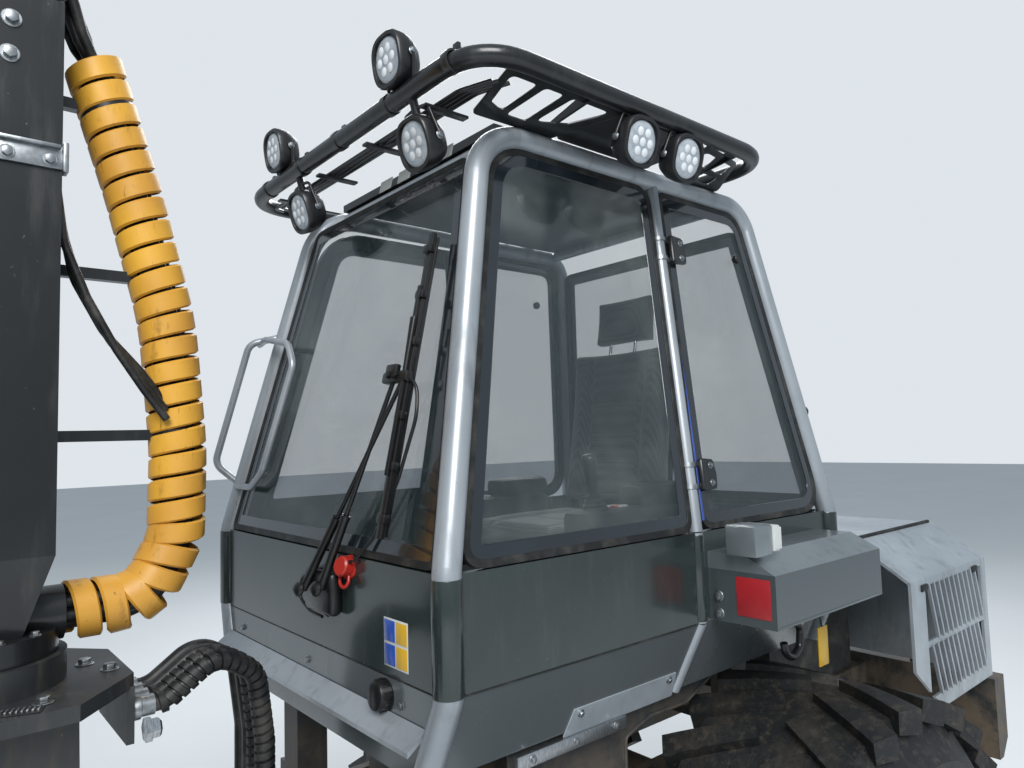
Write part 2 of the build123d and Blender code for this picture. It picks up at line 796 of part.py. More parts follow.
# Engine hood: a shell with shoulders, open below and to the cab, slatted sides and rear
hood_outline = [
    (-hood_half, hood_bottom_z),
    (-hood_half, hood_side_z),
    (-hood_top_half - 70, hood_top_z - 50),
    (-hood_top_half, hood_top_z),
    (hood_top_half, hood_top_z),
    (hood_top_half + 70, hood_top_z - 50),
    (hood_half, hood_side_z),
    (hood_half, hood_bottom_z),
]
grille_x0 = hood_front_x + 110
grille_x1 = hood_rear_x - 50
grille_z = [(hood_bottom_z + 50, hood_bottom_z + 215), (hood_bottom_z + 235, hood_side_z - 25)]
with BuildPart() as engine_hood:
    with BuildSketch(Plane.YZ.offset(hood_front_x)) as outer:
        with BuildLine():
            Polyline(*hood_outline, close=True)
        make_face()
    extrude(outer.sketch, amount=hood_rear_x - hood_front_x)
    with BuildSketch(Plane.YZ.offset(hood_front_x - 1)) as inner:
        with BuildLine():
            Polyline(*hood_outline, close=True)
        make_face()
        offset(amount=-hood_skin)
        with Locations((0, hood_bottom_z)):
            Rectangle(2 * (hood_half - hood_skin), 4 * hood_skin)
    extrude(
        inner.sketch, amount=hood_rear_x - hood_front_x - hood_skin + 1, mode=Mode.SUBTRACT
    )
    for side in (-1, 1):
        for low, high in grille_z:
            block(
                (grille_x0, side * hood_half - 2 * hood_skin, low),
                (grille_x1, side * hood_half + 2 * hood_skin, high),
                mode=Mode.SUBTRACT,
            )
            for index in range(slat_count):
                pitch = (grille_x1 - grille_x0 - slat_lean) / slat_count
                x = grille_x0 + pitch * (index + 0.5)
                with BuildSketch(Plane.XZ.offset(-side * hood_half + hood_skin / 2)) as slat:
                    with BuildLine():
                        Polyline(
                            (x + slat_lean, low - 3),
                            (x + slat_lean + 2 * slat_thickness, low - 3),
                            (x + 2 * slat_thickness, high + 3),
                            (x, high + 3),
                            close=True,
                        )
                    make_face()
                extrude(slat.sketch, amount=-hood_skin)
    # the skin is cut back over the tyres
    for side in (-1, 1):
        with BuildSketch(Plane.XZ.offset(-side * hood_half + 30)) as notch:
            with BuildLine():
                Polyline(
                    (hood_front_x - 5, hood_bottom_z - 5),
                    (hood_front_x + 205, hood_bottom_z - 5),
                    (hood_front_x - 5, hood_bottom_z + 160),
                    close=True,
                )
            make_face()
        extrude(notch.sketch, amount=-60, mode=Mode.SUBTRACT)
    for y in hood_hinge_y:
        with BuildSketch(Plane.XZ.offset(-y + 15)) as strap:
            with Locations(((hood_rear_x - 2 + hood_hinge[0]) / 2, hood_hinge[1])):
                Rectangle(hood_hinge[0] - hood_rear_x + 2, 34)
            with Locations(hood_hinge):
                Circle(22)
                Circle(hood_pin_radius + run_gap, mode=Mode.SUBTRACT)
        extrude(strap.sketch, amount=-30)
save(engine_hood.part, "engine_hood")

# Bumper block behind the chassis plates
with BuildPart() as bumper:
    with BuildSketch(Plane.XZ.offset(-hood_half - 10)) as profile:
        with BuildLine():
            Polyline(
                (frame_end_x + seat_gap, 640),
                (engine_end - 60, 640),
                (engine_end, 700),
                (engine_end, hood_bottom_z - 15),
                (frame_end_x + seat_gap, hood_bottom_z - 15),
                close=True,
            )
        make_face()
    extrude(profile.sketch, amount=2 * hood_half + 20)
    for y in hood_hinge_y:
        for side in (-1, 1):
            with BuildSketch(Plane.XZ.offset(-y - side * 20)) as ear:
                with BuildLine():
                    Polyline(
                        (hood_hinge[0] - 22, hood_hinge[1]), (frame_end_x + 20, hood_bottom_z - 20),
                        (engine_end - 15, hood_bottom_z - 20), (hood_hinge[0] + 22, hood_hinge[1]),
                        close=True,
                    )
                make_face()
                with Locations(hood_hinge):
                    Circle(22)
            extrude(ear.sketch, amount=-side * 12)
        bar((hood_hinge[0], y - 32, hood_hinge[1]), (hood_hinge[0], y + 32, hood_hinge[1]),
            hood_pin_radius)
save(bumper.part, "bumper")

# Centre joint block: pin through the ears, roll shaft, and an arm to each steering cylinder
arm_x, arm_y = steer_arm
block_half = joint_gap_height / 2 - 2.0
with BuildPart() as joint_block:
    with Locations((joint_x, 0, joint_z)):
        Cylinder(joint_ear_radius - 5, 2 * block_half)
        Cylinder(joint_pin_radius, joint_gap_height + 2 * joint_ear_thickness + 20)
    bar((joint_x, 0, joint_z), (beam_front_x + 6, 0, joint_z), 82)
    bar((beam_front_x + 10, 0, joint_z), (beam_front_x - roll_shaft_length, 0, joint_z),
        roll_shaft_radius)
    for level in (-1, 1):
        inner = joint_z + level * arm_lug_gap
        outer = joint_z + level * (arm_lug_gap + arm_lug)
        with BuildSketch(Plane.XY.offset(min(inner, outer))) as arm:
            with BuildLine():
                Polyline(
                    (joint_x + 30, -60), (arm_x + 34, -arm_y - 28), (arm_x - 20, -arm_y - 28),
                    (arm_x - 26, -arm_y + 24), (arm_x + 16, -arm_y + 30), (arm_x + 16, arm_y - 30),
                    (arm_x - 26, arm_y - 24), (arm_x - 20, arm_y + 28), (arm_x + 34, arm_y + 28),
                    (joint_x + 30, 60), close=True,
                )
            make_face()
        extrude(arm.sketch, amount=arm_lug)
save(joint_block.part, "joint_block")

# Steering cylinders from the chassis to the joint's arms
steer_radius = 38.0
steer_rod_radius = 20.0


def cylinder_pair(name, base, tip, normal, radius, rod_radius, barrel_share, inside, eye_half):
    """A hydraulic cylinder: a bored barrel with a base eye, a rod with a tang and tip eye."""
    start = Vector(*base)
    end = Vector(*tip)
    run = (end - start).normalized()
    length = (end - start).length
    mouth = start + run * length * barrel_share
    eye = 0.75 * radius
    tang = eye + 38
    heel = 52.0
    with BuildPart() as barrel:
        bar(tuple(start + run * heel), tuple(mouth), radius)
        with Locations(Plane(origin=start, z_dir=normal)):
            Cylinder(eye, 2 * eye_half)
        with Locations(Plane(origin=start, x_dir=normal, z_dir=run)):
            Box(
                2 * eye_half, 1.2 * radius, heel + 10,
                align=(Align.CENTER, Align.CENTER, Align.MIN),
            )
        with Locations(Plane(origin=start, z_dir=normal)):
            Cylinder(eye_pin_radius + run_gap, 2 * eye_half + 2, mode=Mode.SUBTRACT)
        with Locations(Plane(origin=start + run * (heel + 15), z_dir=run)):
            Cylinder(
                0.8 * radius, length * barrel_share - heel - 55, mode=Mode.SUBTRACT,
                align=(Align.CENTER, Align.CENTER, Align.MIN),
            )
        with Locations(Plane(origin=mouth - run * 30, z_dir=run)):
            Cylinder(radius + 4, 30, align=(Align.CENTER, Align.CENTER, Align.MIN))
        with Locations(Plane(origin=mouth - run * 60, z_dir=run)):
            Cylinder(
                rod_radius + run_gap, 80, mode=Mode.SUBTRACT,
                align=(Align.CENTER, Align.CENTER, Align.MIN),
            )
    with BuildPart() as rod:
        bar(tuple(mouth - run * inside), tuple(end - run * tang), rod_radius)
        with Locations(Plane(origin=end, z_dir=normal)):
            Cylinder(eye, 2 * eye_half)
        with Locations(Plane(origin=end - run * (tang + 12), x_dir=normal, z_dir=run)):
            Box(
                2 * eye_half, 1.5 * rod_radius, tang,
                align=(Align.CENTER, Align.CENTER, Align.MIN),
            )
    save(barrel.part, f"{name}_barrel")
    save(rod.part, f"{name}_rod")


eye_half = 18.0
fold_eye_half = 23.0
fold_lug_gap = fold_eye_half + 4.0
for name, side in (("steer_left", 1), ("steer_right", -1)):
    cylinder_pair(
        name, (steer_base[0], side * steer_base[1], joint_z), (arm_x, side * arm_y, joint_z),
        (0, 0, 1), steer_radius, steer_rod_radius, 0.6, 170.0, eye_half,
    )

# Load unit chassis: roll bearing, long beam, bogie axle, crane pedestal and end plate
base_x0 = crane_x - 250.0
base_x1 = cab_x - 450.0
bulkhead_half = 130.0
hitch_reach = 100.0
hitch_z = 760.0
hitch_gap = 60.0
hitch_plate = 22.0
hitch_hole = 20.5
hitch_eye = 45.0
carrier_x = 775.0
carrier_z = 985.0
with BuildPart() as rear_frame:
    bar((beam_front_x, 0, joint_z), (beam_front_x - roll_shaft_length - 20, 0, joint_z), 115)
    block(
        (load_end + hitch_reach, -beam_half, beam_bottom),
        (beam_front_x - roll_shaft_length - 30, beam_half, beam_top),
    )
    block(
        (beam_front_x - roll_shaft_length - 35, -beam_half, joint_z + 95),
        (beam_front_x - 20, beam_half, beam_top),
    )
    with Locations(Plane(origin=(beam_front_x + 40, 0, joint_z), z_dir=(-1, 0, 0))):
        Cylinder(
            roll_shaft_radius + run_gap, roll_shaft_length + 50, mode=Mode.SUBTRACT,
            align=(Align.CENTER, Align.CENTER, Align.MIN),
        )
    block((bogie_x - 90, -bogie_inner + 20, bogie_pivot_z - 70),
          (bogie_x + 90, bogie_inner - 20, beam_bottom))
    bar((bogie_x, -bogie_inner - bogie_width - 25, bogie_pivot_z),
        (bogie_x, bogie_inner + bogie_width + 25, bogie_pivot_z), bogie_shaft_radius)
    with BuildSketch(Plane.XY.offset(beam_top)) as tower_foot:
        with Locations((crane_x, 0)):
            Rectangle(360, 2 * beam_half)
    with BuildSketch(Plane.XY.offset(base_top - 30)) as tower_head:
        with Locations((crane_x, 0)):
            Rectangle(320, 360)
    loft([tower_foot.sketch, tower_head.sketch])
    polygon_plate(
        [
            (base_x0, -base_half), (base_x1 - 120, -base_half), (base_x1, -base_half + 140),
            (base_x1, base_half - 140), (base_x1 - 120, base_half), (base_x0, base_half),
        ],
        Plane.XY.offset(base_top - 30), 30,
    )
    with Locations((crane_x, 0, base_top)):
        Cylinder(165, column_foot_z - base_top, align=(Align.CENTER, Align.CENTER, Align.MIN))
    block(
        (load_end + hitch_reach - 30, -420, beam_bottom + 20),
        (load_end + hitch_reach, 420, beam_top - 20),
    )
    for z in (hitch_z - hitch_gap / 2 - hitch_plate, hitch_z + hitch_gap / 2):
        with BuildSketch(Plane.XY.offset(z)) as hitch:
            with Locations((load_end + hitch_eye, 0)):
                Circle(hitch_eye)
            with Locations((load_end + hitch_eye + hitch_reach / 2, 0)):
                Rectangle(hitch_reach, 2 * hitch_eye)
            with Locations((load_end + hitch_eye, 0)):
                Circle(hitch_hole, mode=Mode.SUBTRACT)
        extrude(hitch.sketch, amount=hitch_plate)
    block(
        (base_x1 - 15, -bulkhead_half, base_top - 140), (base_x1, bulkhead_half, base_top - 25)
    )
    block((carrier_x - 330, -60, beam_top - 20), (carrier_x - 280, 60, carrier_z))
    block((carrier_x - 330, -110, carrier_z - 20), (carrier_x + 10, 110, carrier_z))
save(rear_frame.part, "rear_frame")

# Gate between the crane and the load, low in the middle where the crane passes
gate_bar = 30.0
gate_foot_z = beam_top + seat_gap
gate_dip_half = 360.0
gate_dip_z = 1480.0
gate_rows = 5
with BuildPart() as gate:
    for side in (-1, 1):
        block(
            (gate_x - gate_bar, side * (gate_half - gate_bar) - gate_bar, bunk_z + 60),
            (gate_x + gate_bar, side * (gate_half - gate_bar) + gate_bar, stake_top),
        )
        block(
            (gate_x - gate_bar, side * (gate_dip_half + 5) - gate_bar, bunk_z + 60),
            (gate_x + gate_bar, side * (gate_dip_half + 5) + gate_bar, stake_top),
        )
        block(
            (gate_x - gate_bar, min(side * gate_half, side * gate_dip_half), stake_top - 60),
            (gate_x + gate_bar, max(side * gate_half, side * gate_dip_half), stake_top),
        )
        for row in range(gate_rows):
            z = bunk_z + 250 + row * 145
            block(
                (gate_x - 12, min(side * (gate_half - 50), side * gate_dip_half), z),
                (gate_x + 12, max(side * (gate_half - 50), side * gate_dip_half), z + 24),
            )
    block((gate_x - 60, -beam_half, gate_foot_z), (gate_x + 60, beam_half, bunk_z + 70))
    block((gate_x - gate_bar, -gate_half, bunk_z + 60), (gate_x + gate_bar, gate_half, bunk_z + 150))
    block(
        (gate_x - gate_bar, -gate_dip_half - 5, gate_dip_z - 60),
        (gate_x + gate_bar, gate_dip_half + 5, gate_dip_z),
    )
    for y in (-240, -120, 0, 120, 240):
        block((gate_x - 12, y - 12, bunk_z + 140), (gate_x + 12, y + 12, gate_dip_z - 50))
save(gate.part, "gate")

# Bunks: cross beams on the long beam with two stakes each
bunk_places = (-900.0, -2000.0, -3100.0)
stake_half = 38.0
with BuildPart() as bunks:
    for x in bunk_places:
        block((x - 70, -gate_half, bunk_z), (x + 70, gate_half, bunk_z + bunk_height))
        block((x - 60, -beam_half, beam_top + seat_gap), (x + 60, beam_half, bunk_z))
        for side in (-1, 1):
            with BuildSketch(Plane.XY.offset(bunk_z + bunk_height)) as stake_foot:
                with Locations((x, side * (gate_half - 60))):
                    Rectangle(2 * stake_half + 30, 2 * stake_half + 20)
            with BuildSketch(Plane.XY.offset(stake_top)) as stake_tip:
                with Locations((x, side * (gate_half - 45))):
                    Rectangle(2 * stake_half, 1.3 * stake_half)
            loft([stake_foot.sketch, stake_tip.sketch])
save(bunks.part, "bunks")

# Bogie beams with spindles
for name, side in (("bogie_right", -1), ("bogie_left", 1)):
    near = side * (bogie_inner + seat_gap + 4)
    with BuildPart() as bogie:
        with BuildSketch(Plane.XZ.offset(-near)) as profile:
            with BuildLine():
                Polyline(
                    (bogie_x - bogie_half_base - 80, bogie_tyre_radius - 75),
                    (bogie_x + bogie_half_base + 80, bogie_tyre_radius - 75),
                    (bogie_x + bogie_half_base + 80, bogie_tyre_radius + 75),
                    (bogie_x + 150, bogie_pivot_z + 115),
                    (bogie_x - 150, bogie_pivot_z + 115),
                    (bogie_x - bogie_half_base - 80, bogie_tyre_radius + 75),
                    close=True,
                )
            make_face()
        extrude(profile.sketch, amount=-side * bogie_width)
        with Locations(Plane(origin=(bogie_x, near - side * 5, bogie_pivot_z), z_dir=(0, side, 0))):
            Cylinder(
                bogie_shaft_radius + run_gap, bogie_width + 10, mode=Mode.SUBTRACT,
                align=(Align.CENTER, Align.CENTER, Align.MIN),
            )
        for x in (bogie_x - bogie_half_base, bogie_x + bogie_half_base):
            hub_y = side * (bogie_tyre_reach - bogie_tyre_width / 2)
            bar((x, near + side * (bogie_width - 5), bogie_tyre_radius),
                (x, hub_y - side * 60, bogie_tyre_radius), bogie_hub)
            bar((x, near + side * (bogie_width - 5), bogie_tyre_radius),
                (x, hub_y + side * 60, bogie_tyre_radius), bogie_spindle)
    save(bogie.part, name)

# Route of the hose guard: down the front of the column, then turning into its foot
guard_hose_radius = 48.0
socket_x = crane_x + 156.0
socket_z = 1568.0
with BuildPart() as hose_guard:
    with BuildLine() as guard_path:
        FilletPolyline(
            (cab_x - 520, 0, 2775), (cab_x - 430, 0, 2480), (cab_x - 358, 0, 2200),
            (cab_x - 332, 0, 1900), (cab_x - 336, 0, 1700), (cab_x - 400, 0, socket_z),
            (socket_x + seat_gap, 0, socket_z),
            radius=[700, 900, 900, 95, 95],
        )
    with BuildSketch(Plane(guard_path.line @ 0, z_dir=guard_path.line % 0)) as sleeve:
        Circle(guard_hose_radius)
    sweep(sleeve.sketch, path=guard_path.line)
save(hose_guard.part, "hose_guard")

# Crane column: foot flange, tapered welded box and a fork for the boom
pin_x, pin_z = boom_pin
boom_pin_radius = 30.0
boom_half = 72.0
fork_plate = 22.0
lift_x = crane_x - column_half - 75.0
lift_z = 1890.0
clamp_places = (0.08, 0.36, 0.62)
with BuildPart() as crane_column:
    with Locations((crane_x, 0, column_foot_z + seat_gap)):
        Cylinder(150, 46, align=(Align.CENTER, Align.CENTER, Align.MIN))
    with BuildSketch(Plane.XY.offset(column_foot_z + 46)) as low:
        with Locations((crane_x, 0)):
            Rectangle(150, 200)
    with BuildSketch(Plane.XY.offset(column_foot_z + 200)) as mid:
        with Locations((crane_x, 0)):
            Rectangle(2 * column_half, 2 * column_half)
    loft([low.sketch, mid.sketch])
    block(
        (crane_x - column_half, -column_half, column_foot_z + 200),
        (crane_x + column_half, column_half, pin_z - 190),
    )
    for side in (-1, 1):
        with BuildSketch(Plane.XZ.offset(-side * (boom_half + 6))) as cheek:
            with BuildLine():
                Polyline(
                    (crane_x - column_half, pin_z - 260),
                    (crane_x + column_half, pin_z - 260),
                    (crane_x + column_half - 40, pin_z + 70),
                    (pin_x - 60, pin_z + 70),
                    (pin_x - 75, pin_z - 40),
                    close=True,
                )
            make_face()
        extrude(cheek.sketch, amount=-side * fork_plate)
    bar((pin_x, -boom_half - 34, pin_z), (pin_x, boom_half + 34, pin_z), boom_pin_radius)
    bar((crane_x + 60, 0, socket_z), (socket_x, 0, socket_z), guard_hose_radius + 8)
    pin_end = arm_lug_gap + arm_lug + 8
    bar((lift_x, -pin_end, lift_z), (lift_x, pin_end, lift_z), eye_pin_radius)
    for side in (-1, 1):
        with BuildSketch(Plane.XZ.offset(-side * arm_lug_gap)) as lug:
            with BuildLine():
                Polyline(
                    (crane_x - column_half + 5, lift_z - 110), (lift_x, lift_z - 34),
                    (lift_x, lift_z + 34), (crane_x - column_half + 5, lift_z + 80), close=True,
                )
            make_face()
            with Locations((lift_x, lift_z)):
                Circle(34)
        extrude(lug.sketch, amount=-side * arm_lug)
    for place in clamp_places:
        centre = guard_path.line @ place
        with Locations(Plane(origin=centre, z_dir=guard_path.line % place)):
            Cylinder(guard_hose_radius + 9, 26)
            Cylinder(guard_hose_radius + seat_gap, 30, mode=Mode.SUBTRACT)
        block(
            (crane_x + column_half - 5, -12, centre.Z - 12),
            (centre.X - guard_hose_radius - 8, 12, centre.Z + 12),
        )
save(crane_column.part, "crane_column")

# Boom in its own line: along runs from the pin to the jib's pin, up is normal to it
along = Vector(-cos(radians(boom_angle)), 0, sin(radians(boom_angle)))
boom_up = Vector(sin(radians(boom_angle)), 0, cos(radians(boom_angle)))
boom_root = Vector(pin_x, 0, pin_z)
boom_plane = Plane(origin=boom_root, x_dir=along, z_dir=along.cross(boom_up))
jib_pin_radius = 26.0
jib_half = 56.0
boom_height = 92.0
fork_start = 520.0
lift_eye_local = (420.0, -150.0)
fold_base_local = (boom_length - 1300.0, 235.0)
with BuildPart() as boom:
    with BuildSketch(boom_plane) as web:
        with BuildLine():
            Polyline(
                (-20, -60), (250, -boom_height), (boom_length - fork_start, -boom_height + 10),
                (boom_length - fork_start, boom_height - 10), (250, boom_height), (-20, 60),
                close=True,
            )
        make_face()
        Circle(68)
        Circle(boom_pin_radius + run_gap, mode=Mode.SUBTRACT)
    extrude(web.sketch, amount=boom_half, both=True)
    for side in (-1, 1):
        with BuildSketch(boom_plane.offset(side * (jib_half + 6))) as cheek:
            with BuildLine():
                Polyline(
                    (boom_length - fork_start - 60, -boom_height + 10),
                    (boom_length, -60), (boom_length, 60),
                    (boom_length - fork_start - 60, boom_height - 10), close=True,
                )
            make_face()
            with Locations((boom_length, 0)):
                Circle(62)
                Circle(jib_pin_radius + run_gap, mode=Mode.SUBTRACT)
        extrude(cheek.sketch, amount=side * 18)
        for u, v, level, gap in (
            (lift_eye_local[0], lift_eye_local[1], -boom_height + 20, arm_lug_gap),
            (fold_base_local[0], fold_base_local[1], boom_height - 20, fold_lug_gap),
        ):
            with BuildSketch(boom_plane.offset(side * gap)) as lug:
                with BuildLine():
                    Polyline(
                        (u - 75, level), (u - 30, v), (u + 30, v), (u + 75, level), close=True
                    )
                make_face()
                with Locations((u, v)):
                    Circle(34)
            extrude(lug.sketch, amount=side * arm_lug)
    with BuildSketch(boom_plane) as fold_pin:
        with Locations(fold_base_local):
            Circle(eye_pin_radius)
    extrude(fold_pin.sketch, amount=fold_lug_gap + arm_lug + 8, both=True)
save(boom.part, "boom")


def boom_point(u, v):
    """A point given along and above the boom, in the part's frame."""
    return boom_root + along * u + boom_up * v


# Jib: out runs from its pin to the tip, down is normal to it
out = Vector(cos(radians(jib_angle)), 0, sin(radians(jib_angle)))
jib_down = Vector(sin(radians(jib_angle)), 0, -cos(radians(jib_angle)))
jib_root = boom_point(boom_length, 0)
jib_plane = Plane(origin=jib_root, x_dir=out, z_dir=out.cross(jib_down))
tail_angle = 165.0 - boom_angle
tail_radius = 200.0
tail_point = jib_root + Vector(cos(radians(tail_angle)), 0, sin(radians(tail_angle))) * tail_radius
tail_local = (
    (tail_point - jib_root).dot(out),
    (tail_point - jib_root).dot(jib_down),
)
jib_box = 75.0
jib_wall = 8.0
slide_gap = 3.0
pad_length = 60.0
extension_half = jib_half - jib_wall - slide_gap
extension_box = jib_box - jib_wall - slide_gap
with BuildPart() as jib:
    with BuildSketch(jib_plane) as root_plate:
        with BuildLine():
            Polyline(
                (-60, 0), (-60, jib_drop + jib_box - 5), (330, jib_drop + jib_box - 5),
                (330, jib_drop - jib_box + 5), (60, 0), close=True,
            )
        make_face()
        Circle(46)
    extrude(root_plate.sketch, amount=jib_half - 4, both=True)
    for side in (-1, 1):
        with BuildSketch(jib_plane.offset(side * fold_lug_gap)) as tail:
            with BuildLine():
                Polyline(
                    (40, 0), (0, -40), (tail_local[0], tail_local[1] - 30),
                    (tail_local[0] - 20, tail_local[1] + 30), (-40, 20), close=True,
                )
            make_face()
            with Locations(tail_local):
                Circle(34)
        extrude(tail.sketch, amount=side * arm_lug)
    box_start = Plane(
        origin=jib_root + out * 200 + jib_down * jib_drop, x_dir=out.cross(jib_down), z_dir=out
    )
    with BuildSketch(box_start) as tube:
        Rectangle(2 * jib_half, 2 * jib_box)
    extrude(tube.sketch, amount=jib_length - 200)
    hollow_start = box_start.offset(60)
    with BuildSketch(hollow_start) as hollow:
        Rectangle(2 * (jib_half - jib_wall), 2 * (jib_box - jib_wall))
    extrude(hollow.sketch, amount=jib_length, mode=Mode.SUBTRACT)
    with BuildSketch(box_start.offset(jib_length - 200 - pad_length)) as pads:
        Rectangle(2 * (jib_half - 1), 2 * (jib_box - 1))
        Rectangle(
            2 * (extension_half + seat_gap), 2 * (extension_box + seat_gap), mode=Mode.SUBTRACT
        )
    extrude(pads.sketch, amount=pad_length)
    bar(
        tuple(jib_root - Vector(0, jib_half + 24, 0)),
        tuple(jib_root + Vector(0, jib_half + 24, 0)), jib_pin_radius,
    )
save(jib.part, "jib")

# Extension sliding in the jib, with a fork for the link whose pin sits below the box
extension_out = 150.0
fork_drop = 80.0
fork_length = 160.0
fork_straight = 25.0
tip_local = (jib_length + extension_out, jib_drop + fork_drop)
link_pin_radius = 16.0
with BuildPart() as extension:
    with BuildSketch(box_start.offset(100)) as section:
        Rectangle(2 * extension_half, 2 * extension_box)
    extrude(section.sketch, amount=jib_length - 300 + extension_out - 130)
    with BuildSketch(box_start.offset(100)) as pads:
        Rectangle(
            2 * (jib_half - jib_wall - seat_gap), 2 * (jib_box - jib_wall - seat_gap)
        )
    extrude(pads.sketch, amount=pad_length)
    for side in (-1, 1):
        with BuildSketch(jib_plane.offset(side * 30)) as cheek:
            with BuildLine():
                Polyline(
                    (tip_local[0] - fork_length, jib_drop - extension_box),
                    (tip_local[0], tip_local[1] - 42), (tip_local[0], tip_local[1] + 42),
                    (tip_local[0] - fork_length + fork_straight, jib_drop + extension_box),
                    (tip_local[0] - fork_length, jib_drop + extension_box), close=True,
                )
            make_face()
            with Locations(tip_local):
                Circle(42)
                Circle(link_pin_radius + run_gap, mode=Mode.SUBTRACT)
        extrude(cheek.sketch, amount=side * 14)
save(extension.part, "extension")

tip = jib_root + out * tip_local[0] + jib_down * tip_local[1]

# Link, rotator and grapple head hanging below the tip
link_drop = 190.0
rotator_drop = 190.0
with BuildPart() as link:
    bar((tip.X, -29, tip.Z), (tip.X, 29, tip.Z), 34)
    block((tip.X - 20, -25, tip.Z - link_drop + 30), (tip.X + 20, 25, tip.Z))
    bar((tip.X - 40, 0, tip.Z - link_drop), (tip.X + 40, 0, tip.Z - link_drop), 32)
    bar((tip.X, -50, tip.Z), (tip.X, 50, tip.Z), link_pin_radius)
    bar((tip.X - 72, 0, tip.Z - link_drop), (tip.X + 72, 0, tip.Z - link_drop), link_pin_radius)
save(link.part, "link")

rotator_top = tip.Z - link_drop
head_top = rotator_top - rotator_drop
with BuildPart() as rotator:
    for side in (-1, 1):
        block(
            (tip.X + side * 54 - 12, -38, rotator_top - 90),
            (tip.X + side * 54 + 12, 38, rotator_top + 30),
        )
    with Locations((tip.X, 0, rotator_top - 80)):
        Cylinder(85, rotator_drop - 80, align=(Align.CENTER, Align.CENTER, Align.MAX))
    with Locations(Plane(origin=(tip.X, 0, rotator_top), z_dir=(1, 0, 0))):
        Cylinder(link_pin_radius + run_gap, 150, mode=Mode.SUBTRACT)
save(rotator.part, "rotator")

claw_pivot_y = 110.0
claw_pivot_z = head_top - 110.0
head_half = 95.0
head_floor = head_top - 50.0
with BuildPart() as grapple_head:
    with Locations((tip.X, 0, head_top - seat_gap)):
        Cylinder(80, 24, align=(Align.CENTER, Align.CENTER, Align.MAX))
    block((tip.X - head_half, -150, head_floor), (tip.X + head_half, 150, head_top - 20))
    for x in (-head_half, head_half - 16):
        for side in (-1, 1):
            with BuildSketch(Plane.YZ.offset(tip.X + x)) as ear:
                with BuildLine():
                    Polyline(
                        (side * 40, head_floor + 5), (side * 150, head_floor + 5),
                        (side * (claw_pivot_y + 34), claw_pivot_z - 10),
                        (side * (claw_pivot_y - 34), claw_pivot_z - 10), close=True,
                    )
                make_face()
                with Locations((side * claw_pivot_y, claw_pivot_z)):
                    Circle(36)
            extrude(ear.sketch, amount=16)
    for side in (-1, 1):
        bar((tip.X - head_half, side * claw_pivot_y, claw_pivot_z),
            (tip.X + head_half, side * claw_pivot_y, claw_pivot_z), 18)
save(grapple_head.part, "grapple_head")

# Claws: two curved arms a side, joined by a cross plate; the right claw is the wider
claw_drop = 330.0
claw_width = {"left": 55.0, "right": 76.0}
for name, side in (("left", 1), ("right", -1)):
    half = claw_width[name]
    with BuildPart() as claw:
        for x in (-half, half - 16):
            with BuildSketch(Plane.YZ.offset(tip.X + x)) as arm:
                with BuildLine():
                    Polyline(
                        (side * (claw_pivot_y - 20), claw_pivot_z + 25),
                        (side * (claw_pivot_y + 35), claw_pivot_z + 15),
                        (side * (claw_pivot_y + 150), claw_pivot_z - 110),
                        (side * (claw_pivot_y + 120), claw_pivot_z - 240),
                        (side * 10, claw_pivot_z - claw_drop),
                        (side * (claw_pivot_y + 60), claw_pivot_z - 205),
                        (side * (claw_pivot_y + 85), claw_pivot_z - 110),
                        (side * (claw_pivot_y - 15), claw_pivot_z - 30),
                        close=True,
                    )
                make_face()
                with Locations((side * claw_pivot_y, claw_pivot_z)):
                    Circle(18 + run_gap, mode=Mode.SUBTRACT)
            extrude(arm.sketch, amount=16)
        block(
            (tip.X - half, side * (claw_pivot_y + 128) - 14, claw_pivot_z - 205),
            (tip.X + half, side * (claw_pivot_y + 128) + 14, claw_pivot_z - 120),
        )
    save(claw.part, f"claw_{name}")

# Lift cylinder behind the column and fold cylinder on the boom
cylinder_pair(
    "lift", (lift_x, 0, lift_z), tuple(boom_point(*lift_eye_local)),
    (0, 1, 0), 50.0, 28.0, 0.72, 480.0, eye_half,
)
cylinder_pair(
    "jib_fold", tuple(boom_point(*fold_base_local)), tuple(tail_point),
    (0, 1, 0), 42.0, 22.0, 0.50, 290.0, fold_eye_half,
)

def front_tube_point(z):
    """The middle of the left front tube at a height between belt and roof."""
    share = (z - belt_z) / (roof_z - belt_z)
    return (
        cab_x + share * (a_roof_x - cab_x), belt_half - share * (belt_half - roof_half), z
    )


# Grab rail at the left front corner: a loop ahead of the tube
rail_radius = 11.0
rail_y = belt_half + 12.0
with BuildPart() as grab_rail:
    with BuildLine() as loop:
        FilletPolyline(
            front_tube_point(2262), (cab_x + 44, rail_y - 60, 2236),
            (cab_x - 45, rail_y + 6, 1846), front_tube_point(1770),
            radius=[45, 45],
        )
    with BuildSketch(Plane(loop.line @ 0, z_dir=loop.line % 0)) as rail:
        Circle(rail_radius)
    sweep(rail.sketch, path=loop.line)
    add(tube_cutter, mode=Mode.SUBTRACT)
save(grab_rail.part, "grab_rail")

